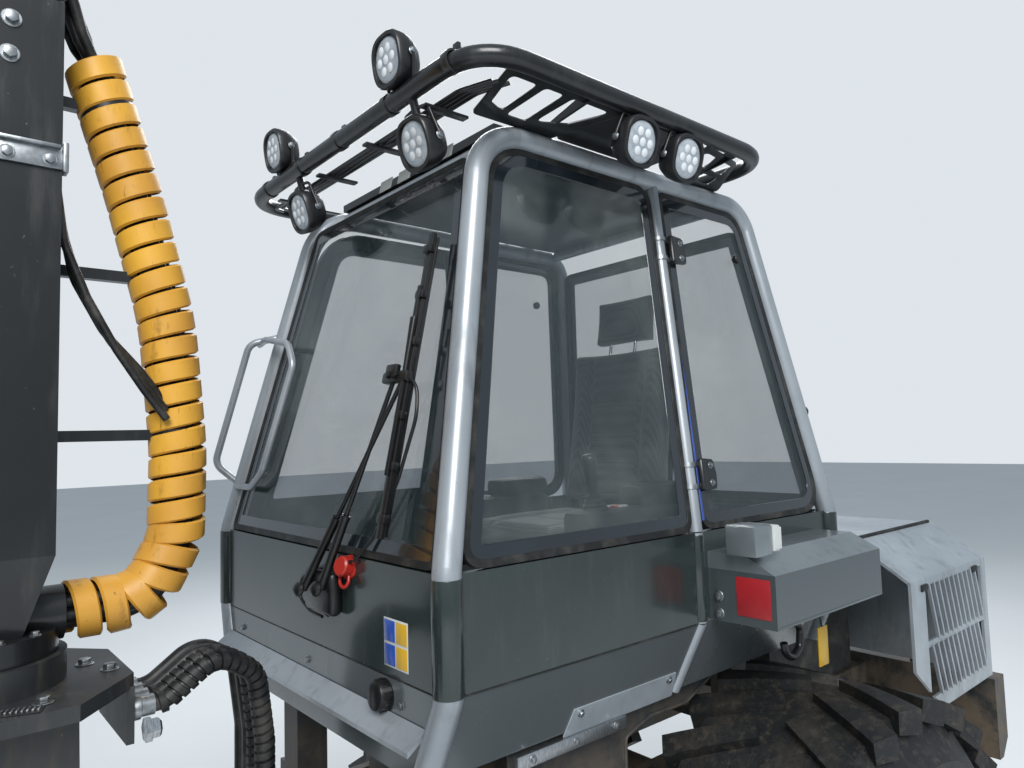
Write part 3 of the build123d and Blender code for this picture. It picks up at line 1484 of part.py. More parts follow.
# Wiper: motor cover on the front panel, two parallel arms, blade holder and blade
cover_low_z = 1478.0
blade_low = (cab_x - 20.0, -452.0, 1700.0)
blade_high = (cab_x + 128.0, -482.0, 2330.0)
arm_top = (cab_x + 38.0, -440.0, 2010.0)
with BuildPart() as wiper:
    block((tub_front - 46, -60, cover_low_z), (tub_front - seat_gap, 120, 1600))
    bar((tub_front - 52, -40, 1560), (arm_top[0] - 30, arm_top[1] + 20, arm_top[2] - 20), 8)
    bar((tub_front - 52, 30, 1545), (arm_top[0] - 30, arm_top[1] + 40, arm_top[2] + 20), 8)
    bar((tub_front - 60, -40, 1560), (tub_front - 30, -40, 1560), 16)
    bar((tub_front - 60, 30, 1545), (tub_front - 30, 30, 1545), 16)
    bar((arm_top[0] - 30, arm_top[1] + 60, arm_top[2] + 22),
        (arm_top[0] - 30, arm_top[1] - 20, arm_top[2] - 24), 12)
    bar((arm_top[0] - 36, arm_top[1] - 18, arm_top[2] - 22),
        (arm_top[0] - 16, arm_top[1] - 26, arm_top[2] - 22), 8)
    bar((blade_low[0] - 22, blade_low[1], blade_low[2]),
        (blade_high[0] - 22, blade_high[1], blade_high[2]), 9)
save(wiper.part, "wiper")

# Hoses over the centre joint, from the pedestal to a carrier plate on the load unit
hose_radius = 17.0
hose_rows = (-95.0, -45.0, 5.0, 55.0)
with BuildPart() as hoses:
    for y in hose_rows:
        with BuildLine() as path:
            FilletPolyline(
                (base_x1 + seat_gap, y, base_top - 80), (base_x1 + 70, y, base_top - 80),
                (base_x1 + 175, y * 1.02, base_top - 5), (base_x1 + 265, y, base_top - 60),
                (carrier_x - 20, y, base_top - 220), (carrier_x - 20, y, carrier_z + seat_gap),
                radius=[60, 70, 70, 80],
            )
        with BuildSketch(Plane(path.line @ 0, z_dir=path.line % 0)) as hose:
            Circle(hose_radius)
        sweep(hose.sketch, path=path.line)
save(hoses.part, "hoses")
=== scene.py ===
# Forwarder: looks of a small timber forwarder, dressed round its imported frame.
# Everything is in metres in the frame's own axes: +X engine end, +Y left, +Z up.
import math

import bpy
from mathutils import Matrix, Vector


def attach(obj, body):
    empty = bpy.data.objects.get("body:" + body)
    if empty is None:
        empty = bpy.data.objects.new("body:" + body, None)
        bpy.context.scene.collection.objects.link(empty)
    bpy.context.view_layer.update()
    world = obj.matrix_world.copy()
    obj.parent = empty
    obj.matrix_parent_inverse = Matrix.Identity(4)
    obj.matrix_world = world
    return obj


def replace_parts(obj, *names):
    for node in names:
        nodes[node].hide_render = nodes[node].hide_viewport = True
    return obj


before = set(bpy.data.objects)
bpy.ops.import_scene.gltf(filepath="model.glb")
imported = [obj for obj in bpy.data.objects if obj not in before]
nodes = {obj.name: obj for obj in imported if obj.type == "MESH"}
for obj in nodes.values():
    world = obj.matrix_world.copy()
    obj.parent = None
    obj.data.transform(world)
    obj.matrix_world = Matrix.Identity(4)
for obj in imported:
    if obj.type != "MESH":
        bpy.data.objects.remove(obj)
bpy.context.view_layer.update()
print("frame loaded")

# Cab places that many pieces share, in metres
cab = {
    "x": 0.920,
    "tube": 0.03015,
    "post": 0.019,
    "seamZ": 1.400,
    "beltZ": 1.637,
    "roofZ": 2.668,
    "beltHalf": 0.608,
    "roofHalf": 0.442,
    "aRoofX": 1.163,
    "bBeltX": 1.736,
    "bRoofX": 1.815,
    "cBeltX": 2.453,
    "cRoofX": 2.286,
    "guardZ": 2.737,
    "guardHalf": 0.654,
    "guardFrontX": 1.001,
    "guardRearX": 2.127,
}


# Small tools: colour, nodes, shapes


def toLinear(hexColour):
    parts = [int(hexColour[i:i + 2], 16) / 255 for i in (1, 3, 5)]
    bent = [p / 12.92 if p <= 0.04045 else ((p + 0.055) / 1.055) ** 2.4 for p in parts]
    return (bent[0], bent[1], bent[2], 1.0)


def addNode(tree, kind, settings=None, links=None):
    # whole-number keys are socket places, names with a capital are sockets, others are settings
    node = tree.nodes.new(kind)
    for key, value in (settings or {}).items():
        if isinstance(key, int) or key[0].isupper():
            node.inputs[key].default_value = value
        else:
            setattr(node, key, value)
    for key, source in (links or {}).items():
        tree.links.new(source, node.inputs[key])
    return node


def startMaterial(name):
    material = bpy.data.materials.new(name)
    material.use_nodes = True
    tree = material.node_tree
    shader = tree.nodes["Principled BSDF"]
    coords = addNode(tree, "ShaderNodeTexCoord").outputs["Object"]
    return material, tree, shader, coords


def cloud(tree, coords, scale, detail=3.0, rough=0.5, stretch=None, cut=None):
    # noise in object space, drawn out by stretch and cut to soft patches between two levels
    if stretch:
        coords = addNode(
            tree, "ShaderNodeMapping", {"Scale": stretch}, {"Vector": coords}
        ).outputs["Vector"]
    value = addNode(
        tree, "ShaderNodeTexNoise", {"Scale": scale, "Detail": detail, "Roughness": rough},
        {"Vector": coords},
    ).outputs["Fac"]
    if cut:
        value = addNode(
            tree, "ShaderNodeMapRange",
            {"From Min": cut[0], "From Max": cut[1], "interpolation_type": "SMOOTHSTEP"},
            {"Value": value},
        ).outputs["Result"]
    return value


def mask(tree, first, *factors):
    # masks and shares, multiplied together
    for factor in factors:
        settings, links = ({1: factor}, {0: first}) if isinstance(factor, float) else (
            {}, {0: first, 1: factor})
        first = addNode(tree, "ShaderNodeMath", {"operation": "MULTIPLY", **settings},
                        links).outputs[0]
    return first


def overlay(tree, under, over, *factors):
    # one colour laid over another where the mask shows; each is a hex, a linear colour or a socket
    settings, links = {"data_type": "RGBA"}, {0: mask(tree, *factors)}
    for place, colour in ((6, under), (7, over)):
        if isinstance(colour, (str, tuple)):
            settings[place] = toLinear(colour) if isinstance(colour, str) else colour
        else:
            links[place] = colour
    return addNode(tree, "ShaderNodeMix", settings, links).outputs[2]


def fillShader(tree, shader, colour, levels, grain=None):
    # colour socket, input levels and a bump from (height socket, strength, distance)
    tree.links.new(colour, shader.inputs["Base Color"])
    for key, level in levels.items():
        shader.inputs[key].default_value = level
    if grain:
        height, strength, distance = grain
        bump = addNode(tree, "ShaderNodeBump", {"Strength": strength, "Distance": distance},
                       {"Height": height})
        tree.links.new(bump.outputs["Normal"], shader.inputs["Normal"])


def weatheredPaint(name, look):
    # painted steel out of doors: colour drift, rain streaks of grime, small chips, mud low down
    material, tree, shader, coords = startMaterial(name)
    colour = overlay(tree, look["base"], look["drift"],
                     cloud(tree, coords, 2.2, 5.0, 0.6, cut=(0.35, 0.68)))
    height = addNode(tree, "ShaderNodeSeparateXYZ", {}, {0: coords}).outputs["Z"]
    bands = [(look["mudTop"], look["mudTop"] - 0.9)]
    # below splitZ the colour turns to lowHex; on the fenders the lighter colour kept above it is a
    # painted highlight on the tops
    if "lowHex" in look:
        bands.append((look["splitZ"] + 0.0006, look["splitZ"] - 0.0006))
    low, *below = [
        addNode(tree, "ShaderNodeMapRange",
                {"From Min": start, "From Max": end, "interpolation_type": "SMOOTHSTEP"},
                {"Value": height}).outputs["Result"]
        for start, end in bands]
    if below:
        colour = overlay(tree, colour, look["lowHex"], below[0])
    streak = cloud(tree, coords, 7.0, 6.0, 0.62, (3.0, 3.0, 0.45), (0.48, 0.78))
    grime = mask(tree, streak, look["grime"])
    colour = overlay(tree, colour, look["grimeHex"], grime)
    speck = cloud(tree, coords, 85.0, 3.0, 0.6, cut=(0.70, 0.735))
    patch = cloud(tree, coords, 5.0, 2.0, cut=(0.42, 0.62))
    colour = overlay(tree, colour, look["chipHex"], speck, patch, look["chips"])
    mud = mask(tree, low, cloud(tree, coords, 9.0, 8.0, 0.7, cut=(0.36, 0.62)), look["mud"])
    colour = overlay(tree, colour, "#6b5d4c", mud)
    fillShader(tree, shader, colour, {"Metallic": look["metal"], "Coat Weight": look["coat"],
                                      "Coat Roughness": 0.12})
    dirt = addNode(tree, "ShaderNodeMath", {"operation": "MAXIMUM"}, {0: grime, 1: mud})
    rough = addNode(
        tree, "ShaderNodeMapRange",
        {"To Min": look["rough"], "To Max": min(0.95, look["rough"] + 0.3)},
        {"Value": dirt.outputs[0]},
    )
    tree.links.new(rough.outputs["Result"], shader.inputs["Roughness"])
    peel = addNode(
        tree, "ShaderNodeBump", {"Strength": 0.05, "Distance": 0.0004},
        {"Height": cloud(tree, coords, 260.0, 2.0)},
    )
    clot = addNode(
        tree, "ShaderNodeBump", {"Strength": 0.5, "Distance": 0.003},
        {"Height": mask(tree, mud, cloud(tree, coords, 60.0, 4.0)), "Normal": peel.outputs[0]},
    )
    tree.links.new(clot.outputs["Normal"], shader.inputs["Normal"])
    return material


paintLooks = {
    # silver grey two-pack paint on the tubes: satin, small dark chips down to primer
    "silverTubePaint": {"base": "#a3a9ae", "drift": "#8f969c", "grimeHex": "#5d605f", "grime": 0.45,
                        "chipHex": "#3a3c3d", "chips": 0.9, "mud": 0.5, "mudTop": 1.3,
                        "rough": 0.34, "metal": 0.35, "coat": 0.25},
    # lighter silver on hood and fender sheet, wetter and flatter
    "silverSheetPaint": {"base": "#aab2b8", "drift": "#939ca3", "grimeHex": "#65696a", "grime": 0.5,
                         "chipHex": "#4a4c4d", "chips": 0.6, "mud": 0.75, "mudTop": 1.35,
                         "rough": 0.33, "metal": 0.30, "coat": 0.3},
    # dark green-black gloss of the belt band
    "beltPaint": {"base": "#2b3534", "drift": "#242d2d", "grimeHex": "#4c504c", "grime": 0.35,
                  "chipHex": "#808582", "chips": 0.25, "mud": 0.6, "mudTop": 1.25,
                  "rough": 0.22, "metal": 0.1, "coat": 0.6, "lowHex": "#565c5f", "splitZ": 1.4},
    # metallic grey of the fender boxes, darker below the cab's foot line; the lighter colour above
    # it on the tops is a painted sky highlight
    "fenderPaint": {"base": "#868e92", "drift": "#757d81", "lowHex": "#5b6366",
                    "splitZ": 1.5405, "grimeHex": "#65696a", "grime": 0.5,
                    "chipHex": "#9a9d9e", "chips": 0.4, "mud": 0.7, "mudTop": 1.5,
                    "rough": 0.28, "metal": 0.55, "coat": 0.4},
    # semi-gloss black of guard and crane
    "blackPaint": {"base": "#17191b", "drift": "#1f2224", "grimeHex": "#4a4a46", "grime": 0.4,
                   "chipHex": "#6d6f70", "chips": 0.7, "mud": 0.3, "mudTop": 1.3,
                   "rough": 0.32, "metal": 0.15, "coat": 0.35},
    # chassis paint under dried mud
    "chassisPaint": {"base": "#2a2d2f", "drift": "#33373a", "grimeHex": "#5b564c", "grime": 0.6,
                     "chipHex": "#7a6a5c", "chips": 0.8, "mud": 0.9, "mudTop": 1.5,
                     "rough": 0.5, "metal": 0.1, "coat": 0.1},
    # load space steel, scraped by timber
    "scrapedSteel": {"base": "#33393a", "drift": "#454a4a", "grimeHex": "#6f665a", "grime": 0.7,
                     "chipHex": "#8d8377", "chips": 1.0, "mud": 0.6, "mudTop": 1.7,
                     "rough": 0.48, "metal": 0.3, "coat": 0.05},
    # silver on the wheel rims, mostly muddy
    "rimPaint": {"base": "#9aa0a4", "drift": "#868c90", "grimeHex": "#6b655a", "grime": 0.7,
                 "chipHex": "#4d4a46", "chips": 0.7, "mud": 0.9, "mudTop": 1.4,
                 "rough": 0.4, "metal": 0.3, "coat": 0.1},
}
paints = {name: weatheredPaint(name, look) for name, look in paintLooks.items()}


def paneGlass():
    # laminated cab glass, slightly green, thin film of road dust in patches over the pane
    material, tree, shader, coords = startMaterial("paneGlass")
    film = cloud(tree, coords, 3.0, 6.0, 0.65, cut=(0.45, 0.75))
    fillShader(tree, shader, overlay(tree, "#3a484b", "#78827f", film),
               {"Roughness": 0.03, "IOR": 1.75, "Specular IOR Level": 0.9, "Coat Weight": 1.0,
                "Coat Roughness": 0.02, "Alpha": 0.24})
    return material


def lensGlass():
    # clear polycarbonate lamp lens with a faint milky haze
    material, tree, shader, coords = startMaterial("lensGlass")
    haze = cloud(tree, coords, 40.0, 3.0, cut=(0.4, 0.7))
    fillShader(tree, shader, overlay(tree, "#d9e2ea", "#b9c4cd", haze),
               {"Roughness": 0.08, "Coat Weight": 1.0, "Alpha": 0.62})
    return material


def shaded(colour, share):
    return tuple(part * share for part in colour[:3]) + (1.0,)


def mouldedPlastic(name, hexColour, grain, rough, coat=0.0):
    # injection moulded plastic: fine spark-eroded grain, slight shade drift
    material, tree, shader, coords = startMaterial(name)
    shade = cloud(tree, coords, 6.0, 4.0, cut=(0.35, 0.7))
    fillShader(tree, shader,
               overlay(tree, hexColour, shaded(toLinear(hexColour), 0.75), shade),
               {"Roughness": rough, "Coat Weight": coat},
               (cloud(tree, coords, grain, 2.0), 0.35, 0.0008))
    return material


def tyreRubber():
    # black carbon rubber, browned by soil between the lugs, dull with dried mud
    material, tree, shader, coords = startMaterial("tyreRubber")
    soil = cloud(tree, coords, 6.0, 8.0, 0.72, cut=(0.44, 0.66))
    fine = cloud(tree, coords, 38.0, 6.0, 0.7, cut=(0.5, 0.7))
    colour = overlay(tree, "#17191b", "#4c453b", soil, 0.38)
    colour = overlay(tree, colour, "#6e6454", fine, 0.25)
    fillShader(tree, shader, colour, {"Roughness": 0.56},
               (cloud(tree, coords, 70.0, 6.0, 0.7), 0.6, 0.004))
    return material


def spiralGuardPlastic():
    # yellow polyethylene hose guard, sun-faded, rubbed grey-brown where it drags
    material, tree, shader, coords = startMaterial("spiralGuardPlastic")
    fade = cloud(tree, coords, 4.0, 4.0, cut=(0.3, 0.7))
    colour = overlay(tree, "#e2aa3a", "#c8913a", fade)
    rub = cloud(tree, coords, 18.0, 6.0, 0.7, (1.0, 1.0, 0.35), (0.56, 0.72))
    colour = overlay(tree, colour, "#6e4f22", rub, 0.6)
    scratch = cloud(tree, coords, 120.0, 3.0, 0.6, (1.0, 1.0, 0.1), (0.66, 0.72))
    colour = overlay(tree, colour, "#4a3716", scratch, 0.5)
    fillShader(tree, shader, colour, {"Roughness": 0.42},
               (cloud(tree, coords, 90.0, 3.0), 0.3, 0.001))
    return material


def bareMetal(name, hexColour, rough, brushed, spangle=0.0):
    # bare or plated steel and aluminium: brushed lines or zinc spangle
    material, tree, shader, coords = startMaterial(name)
    base = toLinear(hexColour)
    dull = shaded(base, 0.6)
    lines = cloud(tree, coords, 60.0, 3.0, 0.6, (brushed, 1.0, 1.0))
    worn = cloud(tree, coords, 60.0, 3.0, 0.6, (brushed, 1.0, 1.0), (0.35, 0.7))
    cells = addNode(tree, "ShaderNodeTexVoronoi", {"Scale": 90.0}, {"Vector": coords})
    colour = overlay(tree, overlay(tree, base, dull, worn), dull, cells.outputs["Distance"],
                     spangle)
    fillShader(tree, shader, colour, {"Metallic": 1.0})
    roughness = addNode(tree, "ShaderNodeMapRange", {"To Min": rough, "To Max": rough + 0.18},
                        {"Value": lines})
    tree.links.new(roughness.outputs["Result"], shader.inputs["Roughness"])
    return material


def seatCloth():
    # woven grey polyester, thread pitch about 2 mm drawn at 6 mm so that it shows
    material, tree, shader, coords = startMaterial("seatCloth")
    weave = [addNode(
        tree, "ShaderNodeTexWave",
        {"wave_type": "BANDS", "bands_direction": direction, "Scale": 52.0, "Distortion": 0.4,
         "Detail": 1.0},
        {"Vector": coords},
    ).outputs["Fac"] for direction in ("X", "Z")]
    threads = mask(tree, *weave)
    wear = cloud(tree, coords, 5.0, 5.0, cut=(0.45, 0.7))
    colour = overlay(tree, overlay(tree, "#2c2f33", "#5b6066", threads), "#77736a", wear, 0.4)
    fillShader(tree, shader, colour, {"Roughness": 0.88, "Sheen Weight": 0.4},
               (threads, 0.6, 0.0015))
    return material


def plainRubber(name, hexColour, rough, dust):
    # extruded rubber or a rough casting: even and dark with a grey bloom of dust
    material, tree, shader, coords = startMaterial(name)
    bloom = cloud(tree, coords, 14.0, 6.0, 0.65, cut=(0.42, 0.72))
    fillShader(tree, shader, overlay(tree, hexColour, "#6d6a63", bloom, dust),
               {"Roughness": rough}, (cloud(tree, coords, 150.0, 3.0), 0.25, 0.0008))
    return material


finishes = dict(paints)
finishes.update({
    "pane": paneGlass(), "lensGlass": lensGlass(), "tyreRubber": tyreRubber(),
    "guardPlastic": spiralGuardPlastic(), "seatCloth": seatCloth(),
})
# finish, material, colour, grain, roughness, coat
for finish, *look in (
    ("lampHousing", "lampHousing", "#1b1c1e", 220.0, 0.42, 0.2),
    ("consolePlastic", "consolePlastic", "#26282a", 260.0, 0.6),
    ("wiperPlastic", "wiperPlastic", "#111213", 300.0, 0.38, 0.2),
    ("redPlastic", "redPlastic", "#b3261c", 200.0, 0.4, 0.2),
    ("whitePlastic", "whitePlastic", "#c9ccca", 200.0, 0.45),
    ("printBand", "ceramicPrint", "#1d242a", 60.0, 0.12, 0.8),
    ("signRed", "signRed", "#b2252c", 90.0, 0.35, 0.4),
    ("signBlue", "signBlue", "#2a4fa8", 90.0, 0.35, 0.4),
    ("signYellow", "signYellow", "#d9ac28", 90.0, 0.4, 0.3),
    ("ledCup", "ledReflector", "#e9edf0", 40.0, 0.18, 0.6),
):
    finishes[finish] = mouldedPlastic(*look)
# finish, material, colour, roughness, brushing or dust, spangle
for maker, finish, *look in (
    (bareMetal, "zinc", "zincPlate", "#b4b9bc", 0.32, 1.0, 0.55),
    (bareMetal, "chrome", "hardChrome", "#d6d9dc", 0.08, 6.0),
    (bareMetal, "aluminium", "rolledAluminium", "#b9bdc0", 0.30, 8.0),
    (plainRubber, "castIron", "castIron", "#2b2c2d", 0.6, 0.4),
    (plainRubber, "gasket", "gasketRubber", "#0f1011", 0.55, 0.25),
    (plainRubber, "hoseRubber", "hoseRubber", "#131415", 0.48, 0.35),
):
    finishes[finish] = maker(*look)
print("materials made")

nodeFinish = {
    "chassisPaint": "front_frame front_axle bumper joint_block rear_frame bogie_left bogie_right",
    "castIron": "engine_block",
    "silverTubePaint": "cab_frame grab_rail",
    "silverSheetPaint": "engine_hood",
    "beltPaint": "cab_tub door",
    "fenderPaint": "fenders",
    "blackPaint": "cab_roof door_hinges roof_guard crane_column boom jib extension link rotator",
    "scrapedSteel": "gate bunks grapple_head claw_left claw_right",
    "pane": "cab_glass quarter_window door_glass",
    "lampHousing": "work_lights",
    "seatCloth": "seat",
    "consolePlastic": "console",
    "wiperPlastic": "wiper",
    "hoseRubber": "hoses",
    "guardPlastic": "hose_guard",
}
finishOf = {name: finish for finish, names in nodeFinish.items() for name in names.split()}
for name, piece in nodes.items():
    if name.startswith("tyre_"):
        finish = "tyreRubber"
    elif name.startswith("rim_"):
        finish = "rimPaint"
    elif name.endswith("_barrel"):
        finish = "blackPaint"
    elif name.endswith("_rod"):
        finish = "chrome"
    else:
        finish = finishOf[name]
    piece.data.materials.clear()
    piece.data.materials.append(finishes[finish])
print("frame painted")

# Shapes: every maker ends with finishPiece, which applies the place and gives paint and body


def clearSelection():
    for thing in list(bpy.context.selected_objects):
        thing.select_set(False)


def pickOnly(piece):
    clearSelection()
    bpy.context.view_layer.objects.active = piece
    piece.select_set(True)


def newMesh(name, verts, edges, faces):
    mesh = bpy.data.meshes.new(name)
    mesh.from_pydata(verts, edges, faces)
    piece = bpy.data.objects.new(name, mesh)
    bpy.context.scene.collection.objects.link(piece)
    return piece


def evenNormals(piece, merge=0.0):
    pickOnly(piece)
    bpy.ops.object.mode_set(mode="EDIT")
    bpy.ops.mesh.select_all(action="SELECT")
    if merge:
        bpy.ops.mesh.remove_doubles(threshold=merge)
    bpy.ops.mesh.normals_make_consistent(inside=False)
    bpy.ops.object.mode_set(mode="OBJECT")


def frameAt(place, normal, up=(0, 0, 1)):
    # local Z along the normal, local Y as near to up as it can be
    z = Vector(normal).normalized()
    x = Vector(up).cross(z)
    if x.length < 1e-4:
        x = Vector((1, 0, 0)).cross(z)
    x.normalize()
    turn = Matrix((x, z.cross(x), z)).transposed()
    return Matrix.Translation(Vector(place)) @ turn.to_4x4()


def applyModifier(piece, kind, **settings):
    modifier = piece.modifiers.new(kind.lower(), kind)
    for key, value in settings.items():
        setattr(modifier, key, value)
    pickOnly(piece)
    bpy.ops.object.modifier_apply(modifier=modifier.name)


def finishPiece(piece, name, finish, body, matrix=None, bevel=0.0, smooth=35.0, segments=2):
    piece.name = name
    pickOnly(piece)
    if piece.type != "MESH":
        bpy.ops.object.convert(target="MESH")
        piece = bpy.context.object
    if bevel:
        applyModifier(piece, "BEVEL", width=bevel, segments=segments, limit_method="ANGLE")
    if matrix is not None:
        piece.matrix_world = matrix
    bpy.ops.object.transform_apply(location=True, rotation=True, scale=True)
    bpy.ops.object.shade_smooth_by_angle(angle=math.radians(smooth))
    piece.data.materials.clear()
    piece.data.materials.append(finishes[finish])
    if body:
        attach(piece, body)
    return piece


def joinPieces(name, pieces, body):
    clearSelection()
    for piece in pieces:
        piece.select_set(True)
    bpy.context.view_layer.objects.active = pieces[0]
    bpy.ops.object.join()
    joined = bpy.context.object
    joined.name = name
    if body:
        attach(joined, body)
    return joined


def boxPiece(name, low, high, finish, body, bevel=0.003):
    middle = [(a + b) / 2 for a, b in zip(low, high)]
    clearSelection()
    bpy.ops.mesh.primitive_cube_add(size=1, location=middle)
    piece = bpy.context.object
    piece.scale = [abs(b - a) for a, b in zip(low, high)]
    bpy.ops.object.transform_apply(location=False, rotation=False, scale=True)
    return finishPiece(piece, name, finish, body, bevel=bevel)


def slabPiece(name, place, normal, up, size, finish, body, bevel=0.002):
    # a bevelled block of width, height, depth standing on a plane
    clearSelection()
    bpy.ops.mesh.primitive_cube_add(size=1)
    piece = bpy.context.object
    piece.scale = size
    bpy.ops.object.transform_apply(location=False, rotation=False, scale=True)
    return finishPiece(piece, name, finish, body, frameAt(place, normal, up), bevel)


def roundedRun(points, bend, steps=6, closed=False):
    # a run of points whose corners are turned into arcs
    spots = [Vector(p) for p in points]
    bends = bend if isinstance(bend, (list, tuple)) else [bend] * len(spots)
    run = []
    for i, corner in enumerate(spots):
        if not closed and i in (0, len(spots) - 1):
            run.append(corner)
            continue
        before, after = spots[i - 1], spots[(i + 1) % len(spots)]
        inward, onward = (before - corner), (after - corner)
        half = inward.angle(onward) / 2
        reach = bends[i] / math.tan(half) if half > 1e-3 else 0.0
        reach = min(reach, inward.length * 0.49, onward.length * 0.49)
        if reach < 1e-5 or abs(half - math.pi / 2) < 1e-3:
            run.append(corner)
            continue
        start = corner + inward.normalized() * reach
        end = corner + onward.normalized() * reach
        for step in range(steps + 1):
            t = step / steps
            run.append(start * (1 - t) ** 2 + corner * 2 * t * (1 - t) + end * t * t)
    return run


def curveFrom(runs, flat, closed):
    curve = bpy.data.curves.new("run", "CURVE")
    curve.dimensions = "2D" if flat else "3D"
    for run in runs:
        spline = curve.splines.new("POLY")
        spline.points.add(len(run) - 1)
        for point, spot in zip(spline.points, run):
            z = 0.0 if flat else spot[2]
            point.co = (spot[0], spot[1], z, 1.0)
        spline.use_cyclic_u = closed
    piece = bpy.data.objects.new("run", curve)
    bpy.context.scene.collection.objects.link(piece)
    return piece


def tubePiece(name, points, radius, finish, body, bend=0.03, closed=False, sides=3, steps=6):
    piece = curveFrom([roundedRun(points, bend, steps, closed)], False, closed)
    piece.data.bevel_depth = radius
    piece.data.bevel_resolution = sides
    piece.data.use_fill_caps = True
    return finishPiece(piece, name, finish, body, smooth=50.0)


def platePiece(name, outline, matrix, thick, finish, body, holes=(), bevel=0.0008):
    # a flat plate cut to an outline, with holes, from a filled curve; its plane is the local XY
    piece = curveFrom([outline, *holes], True, True)
    piece.data.fill_mode = "BOTH"
    piece.data.extrude = max(thick / 2 - bevel, 1e-4)
    piece.data.bevel_depth = bevel
    piece.data.bevel_resolution = 0
    pickOnly(piece)
    bpy.ops.object.convert(target="MESH")
    return finishPiece(bpy.context.object, name, finish, body, matrix, smooth=30.0)


def turnedPiece(name, profile, matrix, finish, body, steps=32, smooth=35.0):
    # a profile of (radius, height) turned about the local Z axis
    piece = newMesh(name, [(r, 0, z) for r, z in profile],
                    [(i, i + 1) for i in range(len(profile) - 1)], [])
    applyModifier(piece, "SCREW", angle=2 * math.pi, steps=steps, render_steps=steps,
                  use_merge_vertices=True, merge_threshold=1e-5)
    evenNormals(piece, 1e-5)
    return finishPiece(piece, name, finish, body, matrix, smooth=smooth)


def boltHead(name, place, normal, size, finish, body):
    # hexagon head on a washer, size across the corners
    half = size / 2
    washer = turnedPiece(
        name + "washer",
        [(0, 0), (half * 1.35, 0), (half * 1.42, half * 0.12), (half * 1.3, half * 0.22),
         (0, half * 0.22)],
        frameAt(place, normal), finish, None, 20,
    )
    clearSelection()
    bpy.ops.mesh.primitive_cylinder_add(vertices=6, radius=half, depth=half * 0.8)
    head = finishPiece(bpy.context.object, name + "head", finish, None,
                       frameAt(Vector(place) + Vector(normal).normalized() * half * 0.6, normal),
                       bevel=half * 0.12)
    return joinPieces(name, [washer, head], body)


def boltSet(name, places, normal, size, finish, body):
    bolts = [boltHead(f"{name}{i}", place, normal, size, finish, body)
             for i, place in enumerate(places)]
    return joinPieces(name, bolts, body)


# Planes of the cab windows, in the frame's axes

sideRise = math.hypot(cab["beltHalf"] - cab["roofHalf"], cab["roofZ"] - cab["beltZ"])
slopes = {
    "a": (cab["aRoofX"] - cab["x"]) / sideRise,
    "b": (cab["bRoofX"] - cab["bBeltX"]) / sideRise,
    "c": (cab["cRoofX"] - cab["cBeltX"]) / sideRise,
}


def sidePlane(side, lift):
    # local X along +X, local Y up the window, moved outwards by lift
    up = Vector((0, -side * (cab["beltHalf"] - cab["roofHalf"]),
                 cab["roofZ"] - cab["beltZ"])).normalized()
    outward = Vector((0, side * up.z, -side * up.y))
    x = Vector((1, 0, 0))
    turn = Matrix((x, up, x.cross(up))).transposed()
    place = Vector((cab["x"], side * cab["beltHalf"], cab["beltZ"])) + outward * lift
    return Matrix.Translation(place) @ turn.to_4x4()


def endPlane(front, lift):
    # local X along +Y, local Y up the pane, moved outwards by lift
    low = Vector((cab["x"] if front else cab["cBeltX"], 0, cab["beltZ"]))
    high = Vector((cab["aRoofX"] if front else cab["cRoofX"], 0, cab["roofZ"]))
    up = (high - low).normalized()
    x = Vector((0, 1, 0))
    outward = x.cross(up) if not front else -x.cross(up)
    turn = Matrix((x, up, x.cross(up))).transposed()
    return Matrix.Translation(low + outward * lift) @ turn.to_4x4(), (high - low).length


def insetQuad(corners, amount):
    # the same quadrilateral with every edge moved in by the amount
    moved = []
    for i, corner in enumerate(corners):
        here = Vector(corner)
        edges = ((Vector(corners[i - 1]) - here).normalized(),
                 (Vector(corners[(i + 1) % len(corners)]) - here).normalized())
        sine = abs(edges[0].x * edges[1].y - edges[0].y * edges[1].x)
        moved.append(here + (edges[0] + edges[1]) * amount / sine)
    return moved


def ringPlate(name, corners, bends, outer, inner, matrix, thick, finish, body):
    # a band that follows the corners between two insets
    rounds = [[max(b - inset, 0.004) for b in bends] for inset in (outer, inner)]
    rings = [roundedRun([(*c, 0) for c in insetQuad(corners, inset)], rounds[i], 8, True)
             for i, inset in enumerate((outer, inner))]
    return platePiece(name, rings[0], matrix, thick, finish, body, [rings[1]])


windowLook = {"tubeGap": 0.031, "postGap": 0.0195, "low": 0.002, "high": 0.03, "seal": 0.016,
              "print": 0.046}


def sideCorners(first, last, grow=0.0):
    # corners of a side window between two posts, from its own posts' slopes
    starts = {"a": 0.0, "b": cab["bBeltX"] - cab["x"], "c": cab["cBeltX"] - cab["x"]}
    gaps = {"a": windowLook["tubeGap"], "b": windowLook["postGap"], "c": windowLook["tubeGap"]}
    low, high = windowLook["low"], sideRise - windowLook["high"]
    return [
        (starts[first] + slopes[first] * low + gaps[first] - grow, low - grow),
        (starts[last] + slopes[last] * low - gaps[last] + grow, low - grow),
        (starts[last] + slopes[last] * high - gaps[last] + grow, high + grow),
        (starts[first] + slopes[first] * high + gaps[first] - grow, high + grow),
    ]


def dressWindow(name, corners, bends, plane, body):
    # rubber seal on the edge and the black print band on the pane's face
    ringPlate(name + "Seal", corners, bends, 0.0, windowLook["seal"], plane(0.0), 0.015,
              "gasket", body)
    ringPlate(name + "Print", corners, bends, windowLook["seal"] - 0.002, windowLook["print"],
              plane(0.0048), 0.0012, "printBand", body)


